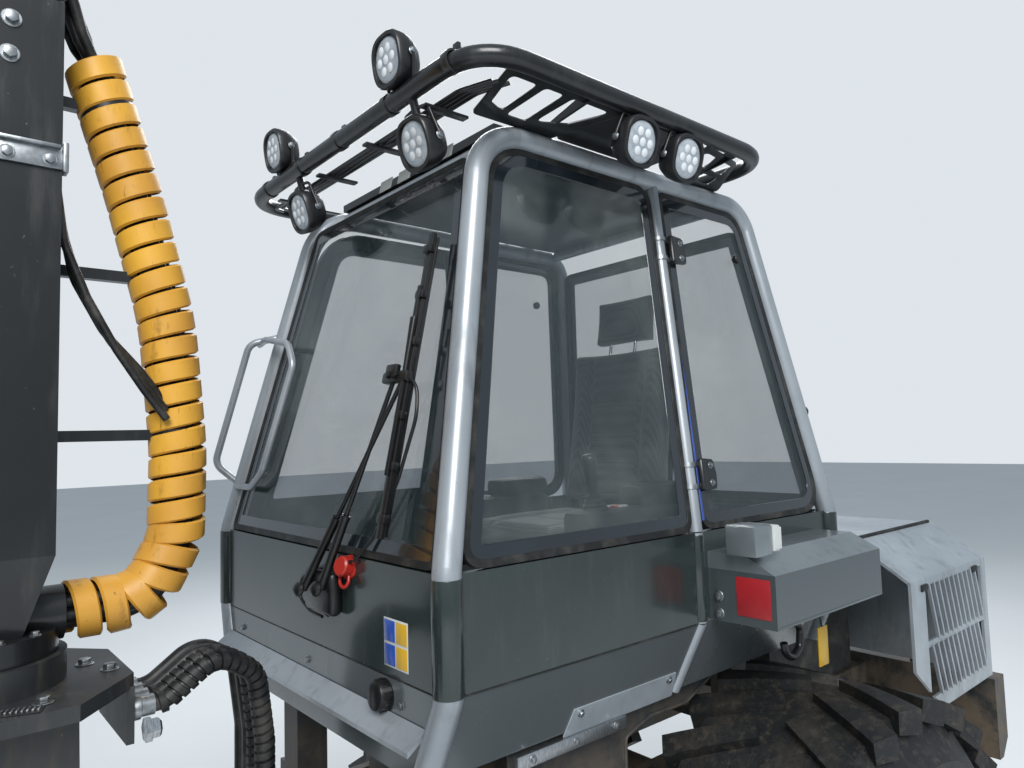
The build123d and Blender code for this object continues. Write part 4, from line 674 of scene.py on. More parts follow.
for side, word in ((-1, "right"), (1, "left")):
    dressWindow(word + "Quarter", sideCorners("b", "c"), [0.06, 0.11, 0.095, 0.045],
                lambda lift, side=side: sidePlane(side, lift), "front_unit")
dressWindow("rightPane", sideCorners("a", "b"), [0.055, 0.045, 0.06, 0.15],
            lambda lift: sidePlane(-1, lift), "front_unit")
dressWindow("doorPane", insetQuad(sideCorners("a", "b"), 0.036), [0.055, 0.045, 0.045, 0.12],
            lambda lift: sidePlane(1, lift), "door")
for front, word in ((True, "windscreen"), (False, "rearPane")):
    rise = endPlane(front, 0.0)[1]
    lean = (cab["beltHalf"] - cab["roofHalf"]) / rise
    half = cab["beltHalf"] - windowLook["tubeGap"] * math.hypot(1, lean)
    high = rise - 0.07
    corners = [(-half, 0.002), (half, 0.002), (half - lean * high, high),
               (-half + lean * high, high)]
    dressWindow(word, corners, [0.03, 0.03, 0.04, 0.04],
                lambda lift, front=front: endPlane(front, lift)[0], "front_unit")
print("windows dressed")

# Dark sleeves of the belt band round the tubes, a rolled edge at each end
for side in (-1, 1):
    for word, x, radius in (("fore", cab["x"], cab["tube"]), ("mid", cab["bBeltX"], cab["post"]),
                            ("aft", cab["cBeltX"], cab["tube"])):
        grow = radius + 0.0022
        turnedPiece(
            f"beltSleeve.{word}.{side + 1}",
            [(radius * 0.9, 0.004), (grow - 0.001, 0.004), (grow, 0.006), (grow, 0.228),
             (grow - 0.001, 0.231), (radius * 0.9, 0.231)],
            frameAt((x, side * cab["beltHalf"], cab["seamZ"]), (0, 0, 1), (0, 1, 0)),
            "beltPaint", "front_unit", 28,
        )
print("belt sleeves fitted")

# Roof guard: bent ring with its stays, gusset plates, rods, clamps and lamps

guard = {"tube": 0.024, "bend": 0.15, "stayX": (1.357, 1.975), "stayThick": 0.008, "rods": 4,
         "rodRadius": 0.0055, "rodPitch": 0.021}


def roundedHole(points, bend):
    return roundedRun([(*p, 0) for p in points], bend, 5, True)


def gussetPlate(name, topLine, lowLine, holes, body):
    # a flat plate between two edges, cut with rounded windows given in shares of width and drop
    a, b = (Vector(p) for p in topLine)
    c, d = (Vector(p) for p in lowLine)
    x = (b - a).normalized()
    normal = x.cross((c + d) / 2 - (a + b) / 2).normalized()
    y = normal.cross(x)
    turn = Matrix((x, y, normal)).transposed()
    matrix = Matrix.Translation(a) @ turn.to_4x4()
    flat = [matrix.inverted() @ p for p in (a, b, d, c)]

    def spot(u, v):
        top = flat[0].lerp(flat[1], u)
        return top.lerp(flat[3].lerp(flat[2], u), v)

    outline = roundedRun([(p.x, p.y, 0) for p in flat], 0.018, 4, True)
    windows = [roundedRun([(spot(u, v).x, spot(u, v).y, 0) for u, v in hole], 0.016, 5, True)
               for hole in holes]
    return platePiece(name, outline, matrix, 0.005, "blackPaint", body, windows)


gussetWindows = {
    "front": [
        [(0.05, 0.16), (0.27, 0.16), (0.24, 0.80), (0.08, 0.70)],
        [(0.33, 0.16), (0.50, 0.16), (0.53, 0.84), (0.30, 0.84)],
        [(0.57, 0.16), (0.94, 0.16), (0.86, 0.62), (0.60, 0.80)],
    ],
    "rear": [
        [(0.06, 0.14), (0.42, 0.14), (0.36, 0.48), (0.12, 0.52)],
        [(0.52, 0.14), (0.92, 0.14), (0.84, 0.50), (0.50, 0.46)],
        [(0.20, 0.60), (0.80, 0.58), (0.70, 0.86), (0.28, 0.86)],
    ],
}


def guardGussets():
    for side in (-1, 1):
        ring = side * (cab["guardHalf"] - 0.012)
        roof = side * (cab["roofHalf"] + 0.012)
        gussetPlate(f"guardGusset.{side + 1}",
                    ((cab["guardFrontX"] + 0.10, ring, 2.730), (1.500, ring, 2.730)),
                    ((1.130, roof, 2.690), (1.390, roof, 2.700)), gussetWindows["front"],
                    "front_unit")
        gussetPlate(f"guardSide.{side + 1}",
                    ((1.500, ring, 2.728), (1.830, ring, 2.728)),
                    ((1.400, roof, 2.700), (1.780, roof, 2.702)), [], "front_unit")
    for side in (-1, 1):
        ring = side * (cab["guardHalf"] - 0.02)
        roof = side * (cab["roofHalf"] + 0.010)
        gussetPlate(f"rearGusset.{side + 1}",
                    ((1.840, ring, 2.728), (2.040, side * (cab["guardHalf"] - 0.055), 2.728)),
                    ((1.930, roof, 2.698), (2.150, roof, 2.692)), gussetWindows["rear"],
                    "front_unit")


def guardRods():
    # parallel rods under the front tube that keep branches off the lamps, tied by four straps
    rods = []
    for i in range(guard["rods"]):
        x = cab["guardFrontX"] + 0.040 + i * guard["rodPitch"]
        z = cab["guardZ"] - 0.042 + i * 0.006
        half = cab["guardHalf"] - 0.07 - 0.004 * i
        rods.append(tubePiece(
            f"rod{i}", [(x + 0.05, -half, z + 0.016), (x, -half + 0.06, z), (x, half - 0.06, z),
                        (x + 0.05, half, z + 0.016)],
            guard["rodRadius"], "blackPaint", None, 0.03,
        ))
    joinPieces("guardRods", rods, "front_unit")
    straps = []
    for y in (-0.43, -0.15, 0.13, 0.41):
        low = cab["guardFrontX"] + 0.004
        straps.append(boxPiece(
            "strap", (low, y - 0.012, cab["guardZ"] - 0.054),
            (low + 0.125, y + 0.012, cab["guardZ"] - 0.047), "blackPaint", None, 0.001))
    joinPieces("guardStraps", straps, "front_unit")


def guardClamps():
    # band clamps round the front tube, with ears and a bolt, and the loom they hold
    bands = []
    for y in (-0.555, -0.29, -0.02, 0.22, 0.47):
        centre = (cab["guardFrontX"], y, cab["guardZ"])
        grow = guard["tube"] + 0.0028
        band = turnedPiece(
            "band", [(guard["tube"] - 0.002, -0.011), (grow, -0.0105), (grow + 0.0006, 0.0),
                     (grow, 0.0105), (guard["tube"] - 0.002, 0.011)],
            frameAt(centre, (0, 1, 0)), "blackPaint", None, 32)
        ear = slabPiece("ear", (centre[0] + 0.014, y, centre[2] + 0.036), (1, 0, 0), (0, 0, 1),
                        (0.020, 0.024, 0.010), "blackPaint", None, 0.002)
        bolt = boltHead("earBolt", (centre[0] + 0.019, y, centre[2] + 0.038), (1, 0, 0.2), 0.012,
                        "zinc", None)
        bands += [band, ear, bolt]
    joinPieces("guardClamps", bands, "front_unit")
    tubePiece(
        "guardLoom",
        [(1.030, -0.60, 2.748), (1.022, -0.45, 2.768), (1.026, -0.30, 2.762), (1.024, 0.0, 2.770),
         (1.026, 0.30, 2.763), (1.030, 0.58, 2.750)],
        0.0055, "hoseRubber", "front_unit", 0.05)


lampLook = {"grow": 1.14, "arm": 0.068}
lampPlaces = [
    ((1.001, -0.350), (-1, 0, -0.15), 0.084), ((1.001, 0.340), (-1, 0, -0.15), 0.084),
    ((1.001, -0.385), (-1, 0, -0.30), -0.125), ((1.001, 0.260), (-1, 0, -0.30), -0.125),
    ((1.516, -0.654), (0, -1, -0.30), -0.085), ((1.708, -0.654), (0, -1, -0.30), -0.085),
    ((1.516, 0.654), (0, 1, -0.15), 0.084), ((1.708, 0.654), (0, 1, -0.15), 0.084),
]


def lampShell():
    # squared round housing: a superellipse face drawn in, narrowing to a closed back
    squared = []
    for i in range(48):
        angle = 2 * math.pi * i / 48
        c, s = math.cos(angle), math.sin(angle)
        squared.append((abs(c) ** 0.72 * math.copysign(1, c), abs(s) ** 0.72 * math.copysign(1, s)))
    layers = [(-0.030, 0.030), (-0.031, 0.036), (-0.010, 0.050), (0.006, 0.055), (0.027, 0.0565),
              (0.031, 0.054), (0.031, 0.0475), (0.026, 0.0465)]
    verts = [(x * r, y * r, z) for z, r in layers for x, y in squared]
    faces = []
    for layer in range(len(layers) - 1):
        for i in range(48):
            a, b = layer * 48 + i, layer * 48 + (i + 1) % 48
            faces.append((a, b, b + 48, a + 48))
    faces.append(tuple(reversed(range(48))))
    faces.append(tuple(range(len(verts) - 48, len(verts))))
    piece = newMesh("lampShell", verts, [], faces)
    return finishPiece(piece, "lampShell", "lampHousing", None, smooth=40.0)


def makeLamps():
    shells, lenses, leds, brackets = [], [], [], []
    model = lampShell()
    for i, ((x, y), facing, reach) in enumerate(lampPlaces):
        aim = Vector(facing).normalized()
        upright = (Vector((0, 0, 1)) - aim * aim.z).normalized()
        centre = Vector((x, y, cab["guardZ"])) + upright * reach
        matrix = frameAt(centre, aim, upright) @ Matrix.Scale(lampLook["grow"], 4)
        shell = model.copy()
        shell.data = model.data.copy()
        bpy.context.scene.collection.objects.link(shell)
        shells.append(finishPiece(shell, f"shell{i}", "lampHousing", None, matrix, smooth=40.0))
        lens = turnedPiece(
            f"lens{i}", [(0.0, 0.0300), (0.030, 0.0296), (0.042, 0.0284), (0.0462, 0.0262)],
            matrix, "lensGlass", None, 36)
        lenses.append(lens)
        ring = [(0.0, 0.0)] + [(0.0245 * math.cos(a), 0.0245 * math.sin(a))
                               for a in (k * math.pi / 3 for k in range(6))]
        for k, (u, v) in enumerate(ring):
            cup = turnedPiece(
                f"cup{i}.{k}", [(0.0, 0.0315), (0.0045, 0.0312), (0.0098, 0.0296)],
                matrix @ Matrix.Translation((u, v, 0.0006)), "ledCup", None, 14)
            leds.append(cup)
        sign = 1 if reach > 0 else -1
        foot = centre - upright * sign * 0.083
        root = Vector((x, y, cab["guardZ"]))
        brackets.append(tubePiece(f"post{i}", [root, centre - upright * sign * 0.056], 0.011,
                                  "blackPaint", None, 0.0))
        for flank in (-1, 1):
            sideways = aim.cross(upright) * flank
            brackets.append(tubePiece(
                f"arm{i}.{flank}",
                [foot, foot + sideways * 0.050 + upright * sign * 0.006,
                 centre + sideways * lampLook["arm"]], 0.0045, "blackPaint", None, 0.018))
            brackets.append(boltHead(f"pivot{i}.{flank}", centre + sideways * 0.066, sideways,
                                     0.014, "zinc", None))
    bpy.data.objects.remove(model)
    joined = joinPieces("lampShells", shells, "front_unit")
    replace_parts(joined, "work_lights")
    joinPieces("lampLenses", lenses, "front_unit")
    joinPieces("lampCups", leds, "front_unit")
    joinPieces("lampBrackets", brackets, "front_unit")


def makeRing():
    # the guard's bent tube with its four stays, the rear pair ahead of the ring's bends
    corners = [(x, y, cab["guardZ"]) for x, y in (
        (cab["guardFrontX"], -cab["guardHalf"]), (cab["guardRearX"], -cab["guardHalf"]),
        (cab["guardRearX"], cab["guardHalf"]), (cab["guardFrontX"], cab["guardHalf"]))]
    parts = [tubePiece("ringTube", corners, guard["tube"], "blackPaint", None, guard["bend"],
                       closed=True, sides=5, steps=12)]
    for x in guard["stayX"]:
        turn = Matrix(((0, 0, 1, x), (1, 0, 0, 0), (0, 1, 0, 0), (0, 0, 0, 1)))
        for side in (-1, 1):
            outline = [(side * y, z) for y, z in ((0.422, 2.6985), (0.462, 2.6985),
                                                  (0.650, 2.721), (0.650, 2.753))]
            parts.append(platePiece("stay", outline, turn, guard["stayThick"], "blackPaint",
                                    None))
    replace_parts(joinPieces("roofRing", parts, "front_unit"), "roof_guard")


makeRing()
guardGussets()
guardRods()
guardClamps()
makeLamps()
print("roof guard dressed")

# Spiral guard on the crane's hoses: a flat yellow band wound round the bundle
spiral = {"radius": 0.062, "pitch": 0.053, "width": 0.047, "thick": 0.006, "steps": 24}


def guardRoute():
    # the guard's own route: down the column's front, then into the socket at its foot
    points = [(0.400, 0, 2.775), (0.490, 0, 2.480), (0.562, 0, 2.200), (0.588, 0, 1.900),
              (0.584, 0, 1.700), (0.520, 0, 1.568), (0.362, 0, 1.568)]
    return roundedRun(points, [0, 0.7, 0.9, 0.9, 0.11, 0.11, 0], 14)


def runLength(run):
    return sum((run[i + 1] - run[i]).length for i in range(len(run) - 1))


def pointAlong(run, distance):
    for i in range(len(run) - 1):
        step = (run[i + 1] - run[i]).length
        if distance <= step or i == len(run) - 2:
            ahead = (run[i + 1] - run[i]).normalized()
            return run[i] + ahead * distance, ahead
        distance -= step


def windBand(name, run, look, finish, body, start=0.0, end=None, side=(0, 1, 0)):
    # cross-sections of a flat band set along a helix round the run, skinned into one strip
    end = end if end is not None else runLength(run)
    count = int((end - start) / look["pitch"] * look["steps"])
    verts, faces = [], []
    half, radius, thick = look["width"] / 2, look["radius"], look["thick"]
    section = [(-half, 0.0), (-half * 0.82, thick), (half * 0.82, thick), (half, 0.0)]
    for i in range(count + 1):
        distance = start + (end - start) * i / count
        place, ahead = pointAlong(run, distance)
        flank = (Vector(side) - ahead * Vector(side).dot(ahead)).normalized()
        other = ahead.cross(flank)
        angle = 2 * math.pi * i / look["steps"]
        outward = flank * math.cos(angle) + other * math.sin(angle)
        for along, lift in section:
            verts.append(place + outward * (radius - thick + lift) + ahead * along)
    for i in range(count):
        for k in range(4):
            a, b = i * 4 + k, i * 4 + (k + 1) % 4
            faces.append((a, b, b + 4, a + 4))
    faces.append((3, 2, 1, 0))
    faces.append(tuple(range(len(verts) - 4, len(verts))))
    piece = newMesh(name, verts, [], faces)
    evenNormals(piece)
    return finishPiece(piece, name, finish, body, smooth=40.0)


route = guardRoute()
windBand("spiralGuard", route, spiral, "guardPlastic", "crane_column")
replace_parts(bpy.data.objects["spiralGuard"], "hose_guard")
bundleLook = {"hoses": 5, "ring": 0.024, "radius": 0.0145}
bundle = []
for k in range(bundleLook["hoses"]):
    angle = 2 * math.pi * k / bundleLook["hoses"] + 0.3
    inner = []
    for i, spot in enumerate(route):
        ahead = (route[min(i + 1, len(route) - 1)] - route[max(i - 1, 0)]).normalized()
        flank = Vector((0, 1, 0))
        other = ahead.cross(flank)
        inner.append(spot + flank * bundleLook["ring"] * math.cos(angle)
                     + other * bundleLook["ring"] * math.sin(angle))
    bundle.append(tubePiece(f"bundle{k}", inner, bundleLook["radius"], "hoseRubber", None, 0.0))
joinPieces("guardBundle", bundle, "crane_column")
print("spiral guard wound")

# Windscreen wiper: two arms on a sleeve each, a head and a long blade, washer hose and red cap


def cabPoint(x, y, z):
    return Vector((cab["x"] + x / 1000, y / 1000, z / 1000))


wiper = {
    "head": (48, -356, 2052), "bladeTop": (143, -388, 2398), "bladeLow": (-18, -400, 1690),
    "feet": (((-62, -80, 1548), -0.020), ((-58, -168, 1560), 0.020)), "knee": 0.36,
    "sleeve": 0.0105, "lip": 0.0118, "rod": 0.0056, "yoke": 0.0058, "hose": 0.0042,
    "clips": (0.06, 0.22, 0.38, 0.50, 0.62, 0.78, 0.94),
}


def makeWiper():
    parts = []
    up = Vector((243, 0, 1031)).normalized()
    face = Vector((-1, 0, 0.236)).normalized()

    def rod(name, points, radius, bend=0.0, sides=3):
        parts.append(tubePiece(name, points, radius, "wiperPlastic", None, bend, sides=sides))

    def slab(name, place, along, size, bevel):
        parts.append(slabPiece(name, place, face, along, size, "wiperPlastic", None, bevel))

    head = cabPoint(*wiper["head"])
    for foot, shift in wiper["feet"]:
        low, top = cabPoint(*foot), head + Vector((0.0, shift, -0.012))
        knee = low.lerp(top, wiper["knee"])
        rod("armSleeve", [low, knee], wiper["sleeve"], sides=4)
        rod("sleeveLip", [low.lerp(knee, 0.93), low.lerp(knee, 1.0)], wiper["lip"], sides=4)
        rod("armRod", [knee, top], wiper["rod"], sides=4)
        parts.append(turnedPiece(
            "armNut", [(0, 0), (0.017, 0), (0.019, 0.004), (0.017, 0.012), (0.009, 0.018),
                       (0, 0.02)],
            frameAt(low + Vector((-0.006, 0, 0)), (-1, 0, 0.23)), "wiperPlastic", None, 20))
    slab("wiperHead", head, up, (0.105, 0.026, 0.022), 0.005)
    slab("wiperCap", head + face * 0.014 + up * 0.012, up, (0.044, 0.030, 0.016), 0.004)
    parts.append(boltHead("wiperNut", head + face * 0.020, face, 0.018, "wiperPlastic", None))
    bladeTop, bladeLow = cabPoint(*wiper["bladeTop"]), cabPoint(*wiper["bladeLow"])
    run = (bladeTop - bladeLow).normalized()
    middle = (bladeTop + bladeLow) / 2
    side = run.cross(face).normalized()
    length = (bladeTop - bladeLow).length
    for width, depth, lift, share in ((0.020, 0.012, 0.010, 1.0), (0.008, 0.014, -0.002, 0.985),
                                      (0.011, 0.010, 0.020, 0.62)):
        slab("bladeLayer", middle + face * lift, run, (width, length * share, depth), 0.003)
    for place in wiper["clips"]:
        slab("bladeClip", bladeLow.lerp(bladeTop, place) + face * 0.012, run,
             (0.030, 0.020, 0.018), 0.003)
    for shift in (-0.012, 0.012):
        rod("bladeYoke", [head + side * shift, bladeLow.lerp(bladeTop, 0.50) + face * 0.02,
                          bladeLow.lerp(bladeTop, 0.70) + face * 0.022 + side * shift * 0.3],
            wiper["yoke"], 0.05)
    rod("washerHose", [head + face * 0.012 + up * 0.01, cabPoint(60, -424, 2040),
                       cabPoint(46, -440, 1960), cabPoint(20, -400, 1820),
                       cabPoint(-2, -330, 1690), cabPoint(-26, -275, 1632)],
        wiper["hose"], 0.12)
    rod("washerHoseLow", [cabPoint(-26, -262, 1630), cabPoint(-24, -180, 1610),
                          cabPoint(-30, -60, 1592), cabPoint(-26, 10, 1560),
                          cabPoint(-30, 18, 1510), cabPoint(-26, -40, 1482),
                          cabPoint(-20, -96, 1476)], wiper["hose"], 0.06)
    joined = joinPieces("wiperAssembly", parts, "front_unit")
    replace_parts(joined, "wiper")
    # motor housing behind the arm feet, domed
    housing = slabPiece("wiperMotor", cabPoint(-30, -122, 1545), (-1, 0, 0), (0, 0, 1),
                        (0.150, 0.105, 0.036), "wiperPlastic", "front_unit", 0.014)
    applyModifier(housing, "BEVEL", width=0.004, segments=2, limit_method="ANGLE")
    capProfile = [(0, 0.030), (0.020, 0.030), (0.0235, 0.026), (0.0245, 0.004), (0.028, 0.002),
                  (0.028, -0.004), (0, -0.004)]
    cap = turnedPiece("washerCap", capProfile, frameAt(cabPoint(-14, -229, 1612), (-1, -0.2, 0.25)),
                      "redPlastic", None, 28)
    loop = tubePiece("capLoop", [cabPoint(-30, -216, 1594), cabPoint(-36, -222, 1576),
                                 cabPoint(-34, -240, 1566), cabPoint(-28, -252, 1580),
                                 cabPoint(-24, -246, 1594)], wiper["hose"],
                    "redPlastic", None, 0.02)
    joinPieces("washerCapSet", [cap, loop], "front_unit")


makeWiper()
print("wiper fitted")

# Belt front: blank safety plate in its colours, ribbed cap, ledge bolts, panel seams
beltFront = {"face": -0.0118, "seam": 0.0035}
boxPiece("plateBack", (cab["x"] + beltFront["face"] - 0.0012, -0.481, 1.421),
         (cab["x"] + beltFront["face"], -0.384, 1.524), "whitePlastic", "front_unit", 0.0005)
for name, low, high in (("plateBlue", -0.430, -0.387), ("plateYellow", -0.478, -0.435)):
    for z0, z1 in ((1.425, 1.469), (1.475, 1.520)):
        boxPiece(f"{name}.{int(z0 * 1000)}",
                 (cab["x"] + beltFront["face"] - 0.0022, low, z0),
                 (cab["x"] + beltFront["face"] - 0.0010, high, z1),
                 "signBlue" if name == "plateBlue" else "signYellow", "front_unit", 0.0004)


def ribbedCap(name, place, normal, radius, height, ribs, finish, body):
    # screw cap: domed top with ribs round the skirt
    dome = turnedPiece(
        name + "dome",
        [(0, height), (radius * 0.70, height), (radius * 0.92, height * 0.88),
         (radius, height * 0.70), (radius, height * 0.12), (radius * 1.12, height * 0.06),
         (radius * 1.12, 0.0)],
        frameAt(place, normal), finish, None, 40)
    parts = [dome]
    base = frameAt(place, normal)
    for i in range(ribs):
        angle = 2 * math.pi * i / ribs
        spot = base @ Vector((radius * math.cos(angle), radius * math.sin(angle), height * 0.4))
        outward = (base.to_3x3() @ Vector((math.cos(angle), math.sin(angle), 0)))
        parts.append(slabPiece(name + "rib", spot, outward, Vector(normal),
                               (radius * 0.12, height * 0.55, radius * 0.10), finish, None, 0.001))
    return joinPieces(name, parts, body)


ribbedCap("washerTankCap", (cab["x"] - 0.012, -0.388, 1.359), (-1, 0, 0.1), 0.033, 0.034, 16,
          "wiperPlastic", "front_unit")
boltSet("ledgeBolts", [(cab["x"] - 0.014, -0.455, 1.352), (cab["x"] - 0.014, 0.455, 1.352),
                       (cab["x"] - 0.014, 0.0, 1.352)], (-1, 0, 0), 0.016, "zinc", "front_unit")
for side in (-1, 1):
    y = side * (cab["beltHalf"] + 0.0115)
    boxPiece(f"seamSide.{side + 1}", (cab["x"] + 0.032, min(y, y - side * 0.004), 1.3982),
             (cab["bBeltX"] - 0.022, max(y, y - side * 0.004), 1.4018), "gasket", "front_unit",
             0.0005)
boxPiece("seamFront", (cab["x"] + beltFront["face"] - 0.0012, -0.575, 1.3982),
         (cab["x"] + beltFront["face"] + 0.003, 0.575, 1.4018), "gasket", "front_unit", 0.0005)
print("belt front dressed")

# Quarter window hinges: U-clamps round the middle post and a black leaf with two bolts


hinge = {"heights": (0.150, 0.820), "clampGap": 0.030, "wall": 0.004, "leafShift": 0.062,
         "leafLift": 0.020, "boltGap": 0.024}
windowKnobs = ((0.330, 1.495), (0.840, 1.263))


def quarterHinges():
    base = sidePlane(-1, 0.0)
    postRun = (base.to_3x3() @ Vector((slopes["b"], 1, 0))).normalized()
    out = (base.to_3x3() @ Vector((0, 0, 1))).normalized()
    if out.y > 0:
        out = -out
    for v in hinge["heights"]:
        x = cab["bBeltX"] - cab["x"] + slopes["b"] * v
        clamps = []
        for shift in (-hinge["clampGap"], hinge["clampGap"]):
            centre = base @ Vector((x + slopes["b"] * shift, v + shift, 0))
            inner, grow = cab["post"] - 0.001, cab["post"] + hinge["wall"]
            clamps.append(turnedPiece(
                "uClamp", [(inner, -0.006), (grow, -0.006), (grow, 0.006), (inner, 0.006)],
                frameAt(centre, postRun), "zinc", None, 28))
            clamps.append(slabPiece("uTail", centre + Vector((0.034, 0, 0)) + out * 0.010,
                                    out, postRun, (0.046, 0.013, 0.005), "zinc", None, 0.001))
        centre = base @ Vector((x + hinge["leafShift"], v, 0)) + out * hinge["leafLift"]
        outline = roundedRun([(-0.034, -0.046, 0), (0.030, -0.040, 0), (0.036, 0.0, 0),
                              (0.030, 0.040, 0), (-0.034, 0.046, 0), (-0.024, 0.0, 0)],
                             0.012, 4, True)
        turn = Matrix((Vector((1, 0, 0)), out.cross(Vector((1, 0, 0))), out)).transposed()
        leaf = [platePiece("leaf", outline, Matrix.Translation(centre) @ turn.to_4x4(), 0.007,
                           "blackPaint", None)]
        leaf.append(turnedPiece("knuckle", [(0, -0.040), (0.0085, -0.040), (0.0095, -0.036),
                                            (0.0095, 0.036), (0.0085, 0.040), (0, 0.040)],
                                frameAt(centre + Vector((-0.026, 0, 0)), postRun),
                                "blackPaint", None, 20))
        joinPieces(f"hingeClamps.right.{int(v * 1000)}", clamps, "front_unit")
        joinPieces(f"hingeLeaf.right.{int(v * 1000)}", leaf, "front_unit")
        boltSet(f"hingeBolts.right.{int(v * 1000)}",
                [centre + postRun * t + Vector((0.012, 0, 0)) + out * 0.0035
                 for t in (-hinge["boltGap"], hinge["boltGap"])], out, 0.013, "zinc", "front_unit")


quarterHinges()
for side in (-1, 1):
    for v, x in windowKnobs:
        base = sidePlane(side, 0.006)
        out = (base.to_3x3() @ Vector((0, 0, side * -1))).normalized()
        turnedPiece(
            f"windowKnob.{side + 1}.{int(v * 1000)}",
            [(0, 0.020), (0.012, 0.020), (0.0155, 0.017), (0.016, 0.008), (0.010, 0.005),
             (0.010, 0.0), (0, 0)],
            frameAt(base @ Vector((x, v, 0)),
                    out if out.y * side > 0 else -out),
            "wiperPlastic", "front_unit", 22)
print("quarter window hung")

# Fender boxes: folded edges, blank red plate, ribbed light box, bolts and hook


fender = {"x0": 1.770, "x1": 2.360, "reach": 0.816}


def dressFenders():
    boxPiece("blankRedPlate", (fender["x0"] - 0.0022, -0.802, 1.428),
             (fender["x0"] - 0.0004, -0.704, 1.528), "signRed", "front_unit", 0.0005)
    boxPiece("lightBoxBody", (1.733, -0.790, 1.586), (1.815, -0.700, 1.664), "fenderPaint",
             "front_unit", 0.006)
    ribs = [boxPiece("lensBack", (1.815, -0.792, 1.594), (1.846, -0.698, 1.660), "whitePlastic",
                     None, 0.004)]
    for i in range(6):
        y = -0.785 + i * 0.0158
        ribs.append(boxPiece("lensRib", (1.812, y, 1.597), (1.853, y + 0.0075, 1.657),
                             "whitePlastic", None, 0.003))
    for i in range(4):
        x = 1.8185 + i * 0.0078
        ribs.append(boxPiece("lensFin", (x, -0.7955, 1.599), (x + 0.0042, -0.780, 1.655),
                             "whitePlastic", None, 0.0015))
    joinPieces("lightBoxLens", ribs, "front_unit")
    for side in (-1, 1):
        y = side * (fender["reach"] + 0.0008)
        boxPiece(f"fenderHem.{side + 1}", (fender["x0"] + 0.004, min(y, y - side * 0.006), 1.4065),
                 (fender["x1"] - 0.02, max(y, y - side * 0.006), 1.4135), "fenderPaint",
                 "front_unit", 0.001)
        boltSet(f"fenderBolts.{side + 1}",
                [(fender["x0"] - 0.001, side * 0.650, z) for z in (1.470, 1.425)],
                (-1, 0, 0), 0.020, "zinc", "front_unit")
    tubePiece("towHook", [(2.050, -0.700, 1.395), (2.085, -0.700, 1.330), (2.075, -0.700, 1.285),
                          (2.035, -0.700, 1.262), (1.998, -0.700, 1.282), (1.992, -0.700, 1.312)],
              0.011, "blackPaint", "front_unit", 0.03)
    turnedPiece("hookSleeve", [(0, 0), (0.017, 0), (0.0185, 0.004), (0.0185, 0.058), (0.017, 0.062),
                               (0, 0.062)], frameAt((2.043, -0.700, 1.405), (0.55, 0, -1)),
                "zinc", "front_unit", 26)
    boxPiece("yellowTag", (2.180, -0.7025, 1.205), (2.236, -0.6985, 1.318), "signYellow",
             "front_unit", 0.001)
    tubePiece("tagWire", [(2.208, -0.700, 1.316), (2.200, -0.698, 1.360), (2.196, -0.690, 1.400)],
              0.0028, "wiperPlastic", "front_unit", 0.01)


dressFenders()
print("fenders dressed")

# Engine hood: black edge strips, latches, creases and the exhaust stub
hood = {"x0": 2.631, "x1": 3.315, "half": 0.790, "topHalf": 0.612, "topZ": 1.515, "sideZ": 1.392}


def dressHood():
    for side in (-1, 1):
        y = side * (hood["topHalf"] - 0.006)
        tubePiece(f"hoodSeal.{side + 1}", [(hood["x0"] + 0.02, y, hood["topZ"] + 0.004),
                                           (hood["x1"] - 0.03, y, hood["topZ"] + 0.004)],
                  0.0075, "gasket", "hood", 0.0)
        for x in (hood["x0"] + 0.10, hood["x1"] - 0.12):
            y = side * (hood["half"] + 0.001)
            slabPiece(f"hoodLatch.{side + 1}.{int(x * 100)}", (x, y, hood["sideZ"] - 0.028),
                      (0, side, 0), (0, 0, 1), (0.052, 0.022, 0.010), "gasket", "hood", 0.003)
    rim = 0.0032
    strip = []
    for y in (-0.20, 0.20):
        strip.append(boxPiece("hoodStep", (hood["x0"] + 0.02, y - 0.006, hood["topZ"] - 0.002),
                              (hood["x1"] - 0.04, y + 0.006, hood["topZ"] + rim),
                              "silverSheetPaint", None, 0.0012))
    joinPieces("hoodCreases", strip, "hood")
    turnedPiece(
        "exhaustStub", [(0.034, -0.01), (0.036, 0.0), (0.036, 0.085), (0.0345, 0.088),
                        (0.031, 0.088), (0.031, 0.02), (0.0, 0.02)],
        frameAt((2.780, 0.350, hood["topZ"]), (0, 0, 1)), "blackPaint", "hood", 36)
    turnedPiece("exhaustCollar", [(0.0365, 0.0), (0.058, 0.0), (0.060, 0.004), (0.040, 0.010),
                                  (0.0365, 0.016)],
                frameAt((2.780, 0.350, hood["topZ"]), (0, 0, 1)), "zinc", "hood", 36)


dressHood()
print("hood dressed")

# Seat: crowned cloth squab, back and headrest with sewn channels, on a bellows and rails


def softRise(value, low, high):
    share = min(1.0, max(0.0, (value - low) / (high - low)))
    return share * share * (3 - 2 * share)


cushions = {
    "seatSquab": {"place": (1.860, 0, 1.587), "normal": (0, 0, 1), "up": (1, 0, 0),
                  "size": (0.470, 0.490, 0.126), "seams": (-0.35, 0.30), "flank": 0.62,
                  "bolster": 0.30, "fill": 0.75},
    "seatBack": {"place": (2.128, 0, 1.938), "normal": (-1, 0, 0.155), "up": (0.155, 0, 1),
                 "size": (0.465, 0.565, 0.096), "seams": (-0.55, -0.1, 0.35), "flank": 0.62,
                 "bolster": 0.34, "fill": 0.75},
    "seatHeadrest": {"place": (2.190, 0, 2.330), "normal": (-1, 0, 0.13), "up": (0.13, 0, 1),
                     "size": (0.250, 0.165, 0.092), "seams": (), "flank": 0.0,
                     "bolster": 0.0, "fill": 0.85},
}
cushionLook = {"cuts": 30, "edge": 0.14, "pull": 0.035, "crown": 0.34, "groove": 0.16,
               "seam": 0.035}


